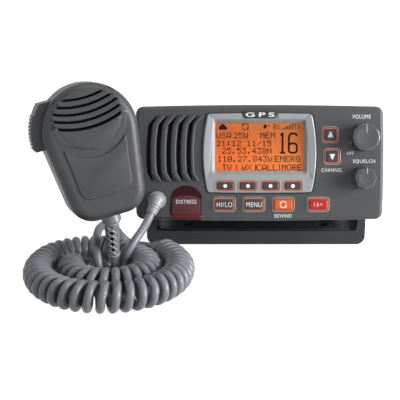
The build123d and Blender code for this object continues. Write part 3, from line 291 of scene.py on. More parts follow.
# How much of the surroundings a finish mirrors, where it isn't the usual share.
USUAL_SHINE = 0.5
SHINE = {"lid_red": 0.15, "lid_face_painted_light": 0.15, "lid_foot_painted_highlight": 0.15, "painted_shade_black": 0.1, "bracket_plastic": 0.3,
         "knob_plastic": 0.85, "lcd_ink": 0.1}
LID_TINT = (1.0, 0.7, 0.7, 1)
LENS_IOR = 1.12
BUMP_DEPTH = 0.0001
# Waves per metre of the broad mottle and of the smudges in the gloss.
MOTTLE_SCALE = 60.0
SMUDGE_SCALE = 140.0
# Places of a Mix node's colour sockets: share, first colour, second colour, and the result.
MIX_SHARE, MIX_FIRST, MIX_SECOND, MIX_RESULT = 0, 6, 7, 2


# ---- Settings ----
def linear(red, green, blue):
    """A colour given as on a screen, as the linear colour that a shader takes."""
    return tuple((c / 255 / 12.92) if c <= 10 else ((c / 255 + 0.055) / 1.055) ** 2.4
                 for c in (red, green, blue))


def colour(label, description, default):
    return bpy.props.FloatVectorProperty(name=label, description=description, subtype="COLOR", size=3,
                                         min=0, max=1, default=default)


def length(label, description, low, high, default):
    return bpy.props.FloatProperty(name=label, description=description, unit="LENGTH", min=low, max=high,
                                   default=default)


class RadioColours(bpy.types.PropertyGroup):
    """The colours that a user would change."""
    bezel: colour("Bezel", "Colour of the moulded front bezel", linear(*FINISHES["bezel_plastic"][0]))
    surround: colour("Display surround", "Colour of the silver panel round the display",
                     linear(*FINISHES["display_silver"][0]))
    display: colour("Display", "Colour of the lit display", linear(*FINISHES["lcd_orange"][0]))
    microphone: colour("Microphone", "Colour of the microphone's shells",
                       linear(*FINISHES["mic_plastic"][0]))
    cord: colour("Cord", "Colour of the cord's jacket", linear(*FINISHES["cord_rubber"][0]))
    floor: colour("Floor", "Colour of the studio floor", (FLOOR_TONE, FLOOR_TONE, FLOOR_TONE))


class RadioSizes(bpy.types.PropertyGroup):
    """The sizes that a user would change."""
    wire: length("Cord thickness", "Diameter of the cord's jacket", 0.003, 0.008, 0.0055)
    curl: length("Curl radius", "Radius of the curl, to the middle of the cord", 0.004, 0.01, 0.00725)
    pitch: length("Curl pitch", "Distance from one curl to the next where they lie close",
                  0.0056, 0.012, 0.0058)
    rib: length("Speaker rib height", "How far the ribs between the loudspeaker's slots stand proud",
                0.0004, 0.002, 0.0013)
    glow: bpy.props.FloatProperty(
        name="Display glow", description="How strongly the display lights itself",
        min=0, max=2, default=0.16)


# ---- Finishes ----
def joined(tree, source, target):
    tree.links.new(source, target)


def added(tree, kind, **values):
    """A new shader node with its named inputs and settings filled in."""
    made = tree.nodes.new(kind)
    for name, value in values.items():
        if name in made.inputs:
            made.inputs[name].default_value = value
        else:
            setattr(made, name, value)
    return made


def textured(tree, where, kind, output, **values):
    """One output of a texture that is read at a place."""
    made = added(tree, kind, **values)
    joined(tree, where, made.inputs["Vector"])
    return made.outputs[output]


def noise(tree, where, scale, detail=3.0, roughness=0.55):
    return textured(tree, where, "ShaderNodeTexNoise", "Fac", Scale=scale, Detail=detail,
                    Roughness=roughness)


def ranged(tree, source, low, high, start=0.3, end=0.7):
    made = added(tree, "ShaderNodeMapRange")
    for name, value in (("From Min", start), ("From Max", end), ("To Min", low), ("To Max", high)):
        made.inputs[name].default_value = value
    joined(tree, source, made.inputs["Value"])
    return made.outputs["Result"]


def combined(tree, operation, first, second):
    made = added(tree, "ShaderNodeMath", operation=operation)
    for place, value in enumerate((first, second)):
        if isinstance(value, (int, float)):
            made.inputs[place].default_value = value
        else:
            joined(tree, value, made.inputs[place])
    return made.outputs["Value"]


def mixed(tree, share, first, second):
    """A blend of two colours, each of them a socket or linear red, green and blue."""
    made = added(tree, "ShaderNodeMix", data_type="RGBA")
    joined(tree, share, made.inputs[MIX_SHARE])
    for place, value in ((MIX_FIRST, first), (MIX_SECOND, second)):
        if isinstance(value, tuple):
            made.inputs[place].default_value = (*value, 1)
        else:
            joined(tree, value, made.inputs[place])
    return made.outputs[MIX_RESULT]


def pattern_height(tree, where, pattern, grain):
    """The pattern's height, from 0 to 1, and how much it also shows in the colour."""
    fine = noise(tree, where, grain)
    if pattern == "cast":
        cells = textured(tree, where, "ShaderNodeTexVoronoi", "Distance", Scale=grain * 0.6)
        return combined(tree, "MULTIPLY", fine, cells), 0.5
    if pattern == "brushed":
        stretched = textured(tree, where, "ShaderNodeMapping", "Vector", Scale=(0.06, 1.0, 1.0))
        return noise(tree, stretched, grain, 2.0), 0.6
    if pattern == "weave":
        bands = [textured(tree, where, "ShaderNodeTexWave", "Fac", Scale=grain * 0.12,
                          bands_direction=direction) for direction in ("X", "Z")]
        return combined(tree, "MULTIPLY", *bands), 1.0
    if pattern == "traces":
        brick = added(tree, "ShaderNodeTexBrick", Scale=grain * 0.5)
        brick.inputs["Mortar Size"].default_value = 0.06
        joined(tree, where, brick.inputs["Vector"])
        return brick.outputs["Fac"], 1.4
    if pattern == "lcd":
        lines = textured(tree, where, "ShaderNodeTexWave", "Fac", Scale=grain * 0.5, bands_direction="Z")
        return lines, 0.3
    if pattern == "moulded":
        cells = textured(tree, where, "ShaderNodeTexVoronoi", "Distance", Scale=grain * 0.7,
                         feature="SMOOTH_F1")
        return combined(tree, "ADD", combined(tree, "MULTIPLY", fine, 0.6), cells), 0.25
    return fine, 0.5


def light_display(tree, shader, where, base, chosen):
    """Lets the display glow, from its own colour on the left to a yellower one on the right."""
    apart = added(tree, "ShaderNodeSeparateXYZ")
    joined(tree, where, apart.inputs["Vector"])
    yellower = (chosen[0] * 0.92, chosen[1] * 1.35, chosen[2] * 2.2)
    tint = mixed(tree, ranged(tree, apart.outputs["X"], 0.0, 1.0, -0.03, 0.03), base, yellower)
    joined(tree, tint, shader.inputs["Base Color"])
    joined(tree, tint, shader.inputs["Emission Color"])
    shader.inputs["Emission Strength"].default_value = bpy.context.scene.radio_sizes.glow


def finish(name):
    """The procedural material of one finish: grain, mottled colour and uneven gloss."""
    if name in bpy.data.materials and bpy.data.materials[name].get("radio_finish"):
        return bpy.data.materials[name]
    screen, metallic, roughness, pattern, grain, bump, mottle = FINISHES[name]
    colours = bpy.context.scene.radio_colours
    chosen = {"bezel_plastic": colours.bezel, "display_silver": colours.surround,
              "lcd_orange": colours.display, "mic_plastic": colours.microphone,
              "cord_rubber": colours.cord}.get(name, linear(*screen))
    made = bpy.data.materials.new(name)
    made["radio_finish"] = True
    made.use_nodes = True
    tree = made.node_tree
    shader = tree.nodes["Principled BSDF"]
    where = added(tree, "ShaderNodeTexCoord").outputs["Object"]
    height, in_colour = pattern_height(tree, where, pattern, grain)
    broad = noise(tree, where, MOTTLE_SCALE, 4.0)
    cloud = combined(tree, "ADD", combined(tree, "MULTIPLY", height, in_colour), broad)
    base = mixed(tree, ranged(tree, cloud, 0.0, 1.0, 0.35, 0.65 + in_colour),
                 tuple(c * (1 - mottle) for c in chosen), tuple(min(c * (1 + mottle), 1) for c in chosen))
    joined(tree, base, shader.inputs["Base Color"])
    smudge = noise(tree, where, SMUDGE_SCALE, 5.0, 0.65)
    gloss = ranged(tree, smudge, roughness * 0.86, min(roughness * 1.16, 1))
    joined(tree, gloss, shader.inputs["Roughness"])
    relief = added(tree, "ShaderNodeBump", Strength=bump, Distance=BUMP_DEPTH)
    joined(tree, height, relief.inputs["Height"])
    joined(tree, relief.outputs["Normal"], shader.inputs["Normal"])
    shader.inputs["Metallic"].default_value = metallic
    shader.inputs["Specular IOR Level"].default_value = SHINE.get(name, USUAL_SHINE)
    if pattern == "clear":
        shader.inputs["Transmission Weight"].default_value = 1.0
        shader.inputs["IOR"].default_value = LENS_IOR
    if pattern == "lcd":
        light_display(tree, shader, where, base, chosen)
    if name.startswith("lid_"):
        shader.inputs["Specular Tint"].default_value = LID_TINT
    return made


# ---- Modelling helpers ----
def select_only(*pieces):
    bpy.ops.object.select_all(action="DESELECT")
    for piece in pieces:
        piece.select_set(True)
    bpy.context.view_layer.objects.active = pieces[0]


def named(name):
    piece = bpy.context.object
    piece.name = name
    piece.data.name = name
    return piece


def settled(piece):
    """Moves an object's own place, turn and scale into its mesh."""
    select_only(piece)
    bpy.ops.object.transform_apply(location=True, rotation=True, scale=True)
    return piece


def shape(piece, kind, test, operator, **options):
    """Uses one edit-mode operator on the faces or edges that a test picks by their place."""
    mesh = piece.data
    for part in (*mesh.vertices, *mesh.edges, *mesh.polygons):
        part.select = False
    if kind == "FACE":
        for face in mesh.polygons:
            face.select = test(face.center / MM, face.normal)
    else:
        for edge in mesh.edges:
            edge.select = test(*(mesh.vertices[i].co / MM for i in edge.vertices))
    bpy.context.tool_settings.mesh_select_mode = (False, kind == "EDGE", kind == "FACE")
    select_only(piece)
    bpy.ops.object.mode_set(mode="EDIT")
    operator(**options)
    bpy.ops.object.mode_set(mode="OBJECT")


def every(*_):
    return True


def outwards(piece):
    shape(piece, "FACE", every, bpy.ops.mesh.normals_make_consistent, inside=False)
    return piece


def thickened(piece, front, back):
    """Draws a flat piece out from its back to its front."""
    shape(piece, "FACE", every, bpy.ops.mesh.extrude_region_move,
          TRANSFORM_OT_translate={"value": (0, (front - back) * MM, 0)})
    return outwards(piece)


def dished(piece, towards, rim, dip):
    """Sinks the middle of the faces that look one way."""
    shape(piece, "FACE", lambda _, normal: normal.dot(towards) > 0.9, bpy.ops.mesh.inset,
          thickness=rim * MM, depth=-dip * MM)
    return piece


def soften(piece, width, segments=2, angle=40):
    """Rounds a piece's sharp edges."""
    select_only(piece)
    bpy.ops.object.modifier_add(type="BEVEL")
    bevel = piece.modifiers[-1]
    bevel.width = width * MM
    bevel.segments = segments
    bevel.limit_method = "ANGLE"
    bevel.angle_limit = math.radians(angle)
    bpy.ops.object.modifier_apply(modifier=bevel.name)
    return piece


def bar(name, low, high):
    """A block between two corners."""
    middle = [(a + b) / 2 * MM for a, b in zip(low, high)]
    size = [(b - a) * MM for a, b in zip(low, high)]
    bpy.ops.mesh.primitive_cube_add(size=1, location=middle, scale=size)
    return settled(named(name))


def disc(name, radius, front, back, across, up, sides=40, turn=0.0):
    """A round or many-sided plate that faces the front."""
    bpy.ops.mesh.primitive_cylinder_add(
        vertices=sides, radius=radius * MM, depth=(back - front) * MM,
        location=(across * MM, (front + back) / 2 * MM, up * MM), rotation=(math.pi / 2, turn, 0))
    return settled(named(name))


def ring(name, major, minor, place, turn, segments=40):
    """A round ring, whose place is in metres."""
    bpy.ops.mesh.primitive_torus_add(major_radius=major * MM, minor_radius=minor * MM, minor_segments=10,
                                     major_segments=segments, location=place, rotation=turn)
    return settled(named(name))


def drawn_along(path, extrude):
    """Extrudes what is selected step by step along a path."""
    for (a0, c0), (a1, c1) in zip(path, path[1:]):
        extrude(TRANSFORM_OT_translate={"value": ((a1 - a0) * MM, 0, (c1 - c0) * MM)})


def blank(name, outline, depth):
    """A flat face: one point drawn out step by step round an outline, then filled."""
    across, up = outline[0]
    bpy.ops.mesh.primitive_plane_add(size=MM, location=(across * MM, depth * MM, up * MM))
    piece = settled(named(name))
    bpy.context.tool_settings.mesh_select_mode = (True, False, False)
    bpy.ops.object.mode_set(mode="EDIT")
    bpy.ops.mesh.select_all(action="SELECT")
    bpy.ops.mesh.merge(type="CENTER")
    drawn_along(outline, bpy.ops.mesh.extrude_vertices_move)
    bpy.ops.mesh.select_all(action="SELECT")
    bpy.ops.mesh.edge_face_add()
    bpy.ops.object.mode_set(mode="OBJECT")
    if len(piece.data.polygons) != 1 or len(piece.data.vertices) != len(outline):
        raise RuntimeError(f"{name}: the outline did not close into one face")
    return piece


def plate(name, outline, front, back):
    """A flat plate cut to an outline."""
    return thickened(blank(name, outline, back), front, back)


def hoop(name, outline, rim, front, back):
    """A flat ring inside an outline."""
    piece = blank(name, outline, back)
    shape(piece, "FACE", every, bpy.ops.mesh.inset, thickness=rim * MM)
    largest = max(piece.data.polygons, key=lambda face: len(face.vertices)).index
    middle = piece.data.polygons[largest].center / MM
    shape(piece, "FACE", lambda centre, _: (centre - middle).length < 0.01, bpy.ops.mesh.delete,
          type="FACE")
    return thickened(piece, front, back)


def rounded(width, height, corner, across=0.0, up=0.0, steps=5):
    """A rectangle's outline with round corners."""
    points = []
    for quarter, (sx, sy) in enumerate(((1, 1), (-1, 1), (-1, -1), (1, -1))):
        for step in range(steps + 1):
            turn = math.radians(90 * quarter + 90 * step / steps)
            points.append((across + sx * (width / 2 - corner) + corner * math.cos(turn),
                           up + sy * (height / 2 - corner) + corner * math.sin(turn)))
    return points


def arc(middle, radius, start, end, steps):
    """Points on an arc, between two angles in degrees."""
    return [(middle[0] + radius * math.cos(math.radians(start + (end - start) * k / steps)),
             middle[1] + radius * math.sin(math.radians(start + (end - start) * k / steps)))
            for k in range(steps + 1)]


def mirrored(outline):
    """The same outline on the other side of the middle."""
    return [(-across, up) for across, up in outline[::-1]]


def strip(name, path, thickness, front, back, upright=True, lean=0.0):
    """A bar pushed out step by step along a path, keeping its thickness across or up."""
    (across, up), depth = path[0], (front + back) / 2
    bpy.ops.mesh.primitive_plane_add(
        size=1, location=((across + thickness / 2 if upright else across) * MM, depth * MM, up * MM),
        rotation=(0, 0 if upright else math.pi / 2, 0))
    piece = named(name)
    piece.scale = (thickness * MM, (back - front) * MM, 1)
    settled(piece)
    spot = Matrix.Translation((across * MM, depth * MM, up * MM))
    piece.matrix_world = spot @ rotation(lean, "X") @ spot.inverted()
    settled(piece)
    bpy.context.tool_settings.mesh_select_mode = (False, False, True)
    bpy.ops.object.mode_set(mode="EDIT")
    bpy.ops.mesh.select_all(action="SELECT")
    drawn_along(path, bpy.ops.mesh.extrude_region_move)
    bpy.ops.object.mode_set(mode="OBJECT")
    return outwards(piece)


def lettering(name, words, box, depth, bold=0.0, spacing=1.12, thickness=0.05):
    """Letters facing the front, as wide and tall as the box they are given."""
    left, right, low, high = box
    bpy.ops.object.text_add()
    text = named(name)
    text.data.body = words
    text.data.extrude = 0.5
    text.data.offset = bold
    text.data.space_character = spacing
    text.data.resolution_u = 4
    bpy.ops.object.convert(target="MESH")
    letters = bpy.context.object
    spots = [vertex.co for vertex in letters.data.vertices]
    least = [min(spot[axis] for spot in spots) for axis in (0, 1)]
    most = [max(spot[axis] for spot in spots) for axis in (0, 1)]
    wide, tall = (right - left) / (most[0] - least[0]), (high - low) / (most[1] - least[1])
    sized = Matrix.Diagonal((wide * MM, tall * MM, thickness * MM, 1))
    centred = Matrix.Translation((-(least[0] + most[0]) / 2, -(least[1] + most[1]) / 2, 0))
    middle = Matrix.Translation(((left + right) / 2 * MM, depth * MM, (low + high) / 2 * MM))
    letters.matrix_world = middle @ Matrix.Rotation(math.pi / 2, 4, "X") @ sized @ centred
    return settled(letters)


def dot_letters(name, words, left, low, high, pitch, depth):
    """A row of letters made of small squares: a grid with the unlit squares taken out."""
    stride = DOT_COLUMNS + 1
    columns = stride * len(words) - 1
    square, tall = pitch / stride, (high - low) / DOT_ROWS
    bpy.ops.mesh.primitive_grid_add(
        x_subdivisions=columns, y_subdivisions=DOT_ROWS, size=1, rotation=(math.pi / 2, 0, 0),
        location=((left + columns * square / 2) * MM, depth * MM, (low + high) / 2 * MM))
    piece = named(name)
    piece.scale = (columns * square * MM, DOT_ROWS * tall * MM, 1)
    settled(piece)
    if len(piece.data.polygons) != columns * DOT_ROWS:
        raise RuntimeError(f"{name}: the grid has {len(piece.data.polygons)} squares")

    def unlit(centre, _):
        column, row = int((centre.x - left) / square), int((high - centre.z) / tall)
        letter, place = divmod(column, stride)
        bits = int(DOTS[words[letter]][2 * place:2 * place + 2], 16) if place < DOT_COLUMNS else 0
        return not bits >> row & 1

    shape(piece, "FACE", unlit, bpy.ops.mesh.delete, type="FACE")
    return piece


def together(name, pieces):
    """Joins like pieces into one."""
    select_only(*pieces)
    bpy.ops.object.join()
    return named(name)


def chasing_arrows(name, across, up, radius, width, front, back):
    """Two arrows chasing each other round a ring."""
    parts = []
    for k in (0, 1):
        start = 20 + 180 * k
        neck, tip = start + 118, start + 168
        outer = arc((across, up), radius + width / 2, start, neck, 12)
        inner = arc((across, up), radius - width / 2, neck, start, 12)
        parts.append(plate(f"{name}_sweep_{k}", outer + inner, front, back))
        head = [arc((across, up), radius + width * 1.5, neck, neck, 1)[0],
                arc((across, up), radius, tip, tip, 1)[0],
                arc((across, up), radius - width * 1.5, neck, neck, 1)[0]]
        parts.append(plate(f"{name}_head_{k}", head, front, back))
    return together(name, parts)


def fit(piece, place, body, look, angle=35):
    """Takes a piece from its part's frame into the row's, and gives it its body and finish."""
    piece.matrix_world = place
    settled(piece)
    bpy.ops.object.shade_smooth_by_angle(angle=math.radians(angle))
    piece.data.materials.clear()
    piece.data.materials.append(finish(look))
    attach(piece, body)
    return piece


# ---- Cords ----
def spline(name, points, radius=0.0):
    """A smooth curve that a route's points draw in."""
    curve = bpy.data.curves.new(name, "CURVE")
    curve.dimensions = "3D"
    line = curve.splines.new("NURBS")
    line.points.add(len(points) - 1)
    for point, place in zip(line.points, points):
        point.co = (*(Vector(place) * MM), 1)
    line.order_u = 3
    line.use_endpoint_u = True
    line.resolution_u = 8
    curve.bevel_depth = radius
    curve.bevel_resolution = 5
    made = bpy.data.objects.new(name, curve)
    bpy.context.scene.collection.objects.link(made)
    return made


def followed(points):
    """The smooth line that a route's points draw in, as points in metres."""
    thread = spline("thread", points)
    mesh = bpy.data.meshes.new_from_object(thread)
    line = [vertex.co.copy() for vertex in mesh.vertices]
    bpy.data.objects.remove(thread)
    bpy.data.meshes.remove(mesh)
    return line


def length_of(line):
    return sum((b - a).length for a, b in zip(line, line[1:]))


def coil_points():
    """The middle of the curl, round the coil's one and three quarter turns."""
    start, end, step = COIL_SPAN
    points = []
    for angle in range(start, end + 1, step):
        for (a0, r0), (a1, r1) in zip(COIL_GROWTH, COIL_GROWTH[1:]):
            if a0 <= angle <= a1:
                radius = r0 + (r1 - r0) * (angle - a0) / (a1 - a0)
        turn = math.radians(angle)
        points.append((COIL_MIDDLE[0] + radius * math.cos(turn),
                       COIL_MIDDLE[1] + radius * math.sin(turn), COIL_MIDDLE[2]))
    return points


def curl_points(sizes):
    """The cord's curls round the coil's line: wider apart at the front, closer at the sides."""
    line = followed(coil_points())
    total = length_of(line)
    points, turned, gone = [], 0.0, 0.0
    for here, after in zip(line, line[1:]):
        step = after - here
        across = Vector((0, 0, 1)).cross(step.normalized())
        for k in range(CURL_PARTS):
            middle = here + step * (k / CURL_PARTS)
            front = max(0.0, (SPREAD_FROM_Y - middle.y) / SPREAD_RUN)
            pitch = sizes.pitch * (1 + SPREAD * min(front, 1.0))
            ease = min(gone, total - gone) / CURL_EASE
            radius = sizes.curl * math.sin(min(ease, 1.0) * math.pi / 2)
            points.append((middle + radius * (math.cos(turned) * across
                                              - math.sin(turned) * Vector((0, 0, 1)))) / MM)
            gone += step.length / CURL_PARTS
            turned += 2 * math.pi * step.length / CURL_PARTS / pitch
    points.append(line[-1] / MM)
    return points


class RADIO_OT_cords(bpy.types.Operator):
    """Lay the two leads and wind the curly cord between them"""
    bl_idname = "radio.cords"
    bl_label = "Cords"

    def execute(self, context):
        sizes = context.scene.radio_sizes
        radius = sizes.wire / 2
        line = followed(RADIO_LEAD)
        select_only(spline("radio_lead", RADIO_LEAD, radius))
        bpy.ops.object.convert(target="MESH")
        lead = named("radio_lead")
        lead.data.materials.append(finish("cord_rubber"))
        bpy.ops.object.shade_smooth()
        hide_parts("cord_lead_radio")
        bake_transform(lead)

        curl = spline("curly_cord_winding", curl_points(sizes), radius)
        curl.data.splines[0].resolution_u = 2
        curl.data.bevel_resolution = 3
        curl.data.materials.append(finish("cord_rubber"))
        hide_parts("curly_cord")
        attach(curl, "bracket")
        wound = followed(curl_points(sizes))

        line = followed(MIC_LEAD)
        lead = spline("mic_lead", MIC_LEAD, radius)
        lead.data.materials.append(finish("cord_rubber"))
        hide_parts("cord_lead_mic")
        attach(lead, "bracket")
        return {"FINISHED"}


# ---- Stage ----
def sight(tree):
    """One for a ray from the camera, off a gloss or through a lens, and nought for any other."""
    rays = added(tree, "ShaderNodeLightPath").outputs
    seen = combined(tree, "MAXIMUM", rays["Is Camera Ray"], rays["Is Glossy Ray"])
    return combined(tree, "MAXIMUM", seen, rays["Is Transmission Ray"])


class RADIO_OT_stage(bpy.types.Operator):
    """Set the camera, the pale floor and the soft studio lamps"""
    bl_idname = "radio.stage"
    bl_label = "Stage"

    def execute(self, context):
        scene = context.scene
        bpy.ops.object.camera_add(location=CAMERA_AT, rotation=(math.radians(CAMERA_TILT), 0, 0))
        camera = context.object
        camera.name = "camera"
        camera.data.sensor_width = SENSOR_MM
        camera.data.lens = LENS_MM
        scene.camera = camera
        self.floor(scene.radio_colours.floor)

        scene.world = bpy.data.worlds.new("studio")
        scene.world.use_nodes = True
        tree = scene.world.node_tree
        sky = tree.nodes["Background"]
        sky.inputs["Color"].default_value = (1, 1, 1, 1)
        joined(tree, ranged(tree, sight(tree), ROOM_LIGHT, 1.0, 0.0, 1.0), sky.inputs["Strength"])

        for name, (place, aim, size, power) in LAMPS.items():
            turn = (Vector(aim) - Vector(place)).to_track_quat("-Z", "Y").to_euler()
            bpy.ops.object.light_add(type="AREA", location=place, rotation=turn)
            lamp = context.object
            lamp.name = name
            lamp.data.size = size
            lamp.data.energy = power
        scene.view_settings.view_transform = "Standard"
        return {"FINISHED"}

    @staticmethod
    def floor(tone):
        """A matt floor that is white wherever it is seen."""
        bpy.ops.mesh.primitive_plane_add(size=FLOOR_SIZE, location=(0, 0, 0))
        floor = named("floor")
        pale = bpy.data.materials.new("floor_pale")
        pale.use_nodes = True
        tree = pale.node_tree
        shader = tree.nodes["Principled BSDF"]
        shader.inputs["Base Color"].default_value = (*tone, 1)
        shader.inputs["Roughness"].default_value = 0.9
        shader.inputs["Specular IOR Level"].default_value = 0.1
        glow = added(tree, "ShaderNodeEmission")
        joined(tree, combined(tree, "MULTIPLY", sight(tree), FLOOR_GLOW), glow.inputs["Strength"])
        total = added(tree, "ShaderNodeAddShader")
        joined(tree, shader.outputs["BSDF"], total.inputs[0])
        joined(tree, glow.outputs["Emission"], total.inputs[1])
        joined(tree, total.outputs["Shader"], tree.nodes["Material Output"].inputs["Surface"])
        floor.data.materials.append(pale)


# ---- Finishes on the CAD parts ----
class RADIO_OT_finishes(bpy.types.Operator):
    """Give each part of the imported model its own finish"""
    bl_idname = "radio.finishes"
    bl_label = "Finishes"

    def execute(self, context):
        slots = {part["node"]: part["material_slot"] for part in frame["record"]["subparts"]}
        for name, piece in frame["nodes"].items():
            look = finish(slots[name])
            if not piece.data.materials:
                piece.data.materials.append(look)
            for place in range(len(piece.data.materials)):
                piece.data.materials[place] = look
        return {"FINISHED"}


# ---- Loudspeaker ----
class RADIO_OT_speaker_ribs(bpy.types.Operator):
    """Raise the rounded ribs between and beside the loudspeaker's five slots"""
    bl_idname = "radio.speaker_ribs"
    bl_label = "Speaker ribs"

    def execute(self, context):
        raised = context.scene.radio_sizes.rib / MM
        ribs = []
        for k, width in enumerate((RIB_W, RIB_W, RIB_W, RIB_W, LAST_RIB_W)):
            path = [(across + SLOT_W + SLOT_PITCH * k, up) for across, up in SPEAKER_EDGE]
            rib = strip(f"rib_{k}", path, width, FACE_V - raised, FACE_V + 1.2)
            ribs.append(soften(rib, 0.95, 4, 50))
        fit(together("speaker_ribs", ribs), SET, "radio", "bezel_plastic", 60)
        return {"FINISHED"}


# ---- Display ----
class RADIO_OT_display(bpy.types.Operator):
    """Draw the display's letters and icons, its tab and the marks above the soft keys"""
    bl_idname = "radio.display"
    bl_label = "Display"

    def execute(self, context):
        back = LCD_V - 0.05
        front = back - 0.02
        ink = [dot_letters(f"row_{k}", *row, back) for k, row in enumerate(LCD_ROWS)]
        ink += self.big_number(front, back) + self.icons(front, back)
        fit(together("lcd_ink", ink), SET, "radio", "lcd_ink")

        slopes = []
        for name, outline in (("left", SURROUND_LEFT), ("right", mirrored(SURROUND_LEFT)),
                              ("top_left", SURROUND_TOP), ("top_right", mirrored(SURROUND_TOP))):
            slope = plate(f"surround_{name}", outline, SURROUND_V - 0.95, SURROUND_V + 0.3)
            self.tilt_inwards(slope)
            slopes.append(soften(slope, 0.15, 2, 25))
        fit(together("surround_slopes", slopes), SET, "radio", "display_silver", 20)

        ticks = []
        for across in TICKS:
            low = (across - 0.2, SURROUND_V - 0.25, -9.6)
            high = (across + 0.2, SURROUND_V + 0.1, -6.6)
            ticks.append(soften(bar("tick", low, high), 0.1, 2))
        fit(together("soft_key_ticks", ticks), SET, "radio", "display_silver")

        tab = plate("display_tab", TAB, SURROUND_V - 0.35, SURROUND_V + 0.7)
        fit(soften(tab, 0.3, 3), SET, "radio", "tab_black")
        letters = lettering("tab_letters", "GPS", (-9.4, 9.7, 30.3, 33.2), SURROUND_V - 0.36, 0.02, 1.4)
        fit(letters, SET, "radio", "legend_white")
        return {"FINISHED"}

    @staticmethod
    def tilt_inwards(slope):
        """Pushes a strip's inner front edge back, so that it slopes down to the window."""
        def inner(*ends):
            return all(end.y < SURROUND_V - 0.9 and abs(end.x) < 33.0 and end.z < 29.3 for end in ends)

        shape(slope, "EDGE", inner, bpy.ops.transform.translate, value=(0, 0.8 * MM, 0))

    @staticmethod
    def big_number(front, back):
        """The channel number: a one with a foot and a six with a round bowl."""
        bowl = hoop("six_bowl", rounded(6.6, 7.4, 2.3, 22.2, 9.8), 1.35, front, back)
        return [plate("one", NUMBER_ONE, front, back), plate("six_hook", SIX_HOOK, front, back), bowl]

    @staticmethod
    def icons(front, back):
        """The splits between the lowest words, and the signal, cloud, turning and dish icons."""
        ink = []
        for k, across in enumerate(SPLITS):
            ink.append(plate(f"split_{k}", rounded(0.55, 4.4, 0.1, across, -3.0, 1), front, back))
        bars, first, apart, least, growth = SIGNAL
        for k in range(bars):
            tall = least + growth * k
            outline = rounded(0.55, tall, 0.05, first + apart * k, 22.0 + tall / 2, 1)
            ink.append(plate(f"signal_{k}", outline, front, back))
        for k, (across, up, radius) in enumerate(CLOUD):
            ink.append(disc(f"cloud_{k}", radius, back - 0.03 - 0.01 * k, back, across, up, 20))
        ink.append(plate("cloud_foot", rounded(5.6, 1.5, 0.6, -24.0, 22.7, 3), front, back))
        ink.append(chasing_arrows("turning", -9.2, 23.9, 2.1, 0.5, front, back))
        ink.append(plate("dish", arc((4.8, 23.6), 2.1, 95, 215, 10) + [(4.9, 23.5)], front, back))
        ink.append(plate("dish_beam", rounded(2.0, 0.45, 0.1, 6.0, 24.6, 1), front, back))
        return ink


# ---- Keys ----
class RADIO_OT_key_marks(bpy.types.Operator):
    """Print each key's mark and lay a pale ring round each key's recess, a painted highlight on its bevel
    """
    bl_idname = "radio.key_marks"
    bl_label = "Key marks"

    def execute(self, context):
        front, back = KEY_V - 0.06, KEY_V + 0.02
        for name, (across, up) in SOFT_KEYS.items():
            mark = disc(f"{name}_dot", 1.3, front, back, across, up - 0.1, 28)
            fit(mark, SET, f"{name}_body", "legend_white")
        for (name, (across, up)), sign in zip(CHANNEL_KEYS.items(), (1, -1)):
            foot, tip = up - 1.7 * sign, up + 1.9 * sign
            outline = [(across - 1.75, foot), (across + 1.75, foot),
                       (across + 0.45, tip), (across - 0.45, tip)]
            fit(plate(f"{name}_arrow", outline, front, back), SET, f"{name}_body", "legend_white")
        for key, label, box, look, bold in KEY_WORDS:
            words = lettering(f"{key}_mark", label, box, KEY_V - 0.03, bold)
            fit(words, SET, f"{key}_key_body", look)
        turning = chasing_arrows("rewind_mark", *LOW_KEYS["rewind_key"], 2.15, 0.55, front, back)
        fit(turning, SET, "rewind_key_body", "legend_white")

        # The pale rings are a painted highlight on the bevels round the key recesses.
        rims = []
        for keys, (width, height), face in ((SOFT_KEYS, SOFT_RIM, SURROUND_V), (LOW_KEYS, LOW_RIM, FACE_V),
                                            (CHANNEL_KEYS, CHANNEL_RIM, FACE_V)):
            for name, (across, up) in keys.items():
                outline = rounded(width + RECESS_GAP, height + RECESS_GAP, 2.4, across, up)
                rim = hoop(f"{name}_edge", outline, 0.5, face - 0.4, face + 0.2)
                rims.append(soften(rim, 0.14, 2))
        fit(together("key_recess_edges", rims), SET, "radio", "recess_edge_painted_highlight")
        return {"FINISHED"}


# ---- Lettering on the face ----
class RADIO_OT_face_letters(bpy.types.Operator):
    """Print the names beside the knobs and keys, and the mark where the volume knob is off"""
    bl_idname = "radio.face_letters"
    bl_label = "Face letters"

    def execute(self, context):
        words = [lettering(f"{label.lower()}_letters", label, box, FACE_V - 0.02)
                 for label, box in FACE_WORDS]
        fit(together("face_letters", words), SET, "radio", "legend_white")
        mark = bar("off_mark", (59.0, FACE_V - 0.06, 13.2), (60.6, FACE_V + 0.05, 13.55))
        fit(mark, SET, "radio", "legend_white")
        return {"FINISHED"}


# ---- Knobs ----
class RADIO_OT_knobs(bpy.types.Operator):
    """Add the pointers and the dished caps of the two knobs"""
    bl_idname = "radio.knobs"
    bl_label = "Knobs"

    def execute(self, context):
        for name, (corners, _, _) in KNOBS.items():
            pointer = bar(f"{name}_pointer", *corners)
            fit(soften(pointer, 0.12, 2), SET, name, "pointer_grey")
        for name, (_, cap, dip) in KNOBS.items():
            cap = dished(disc(f"{name}_cap", *cap), Vector((0, -1, 0)), *dip)
            fit(soften(cap, 0.12, 2), SET, name, "knob_plastic")
        return {"FINISHED"}


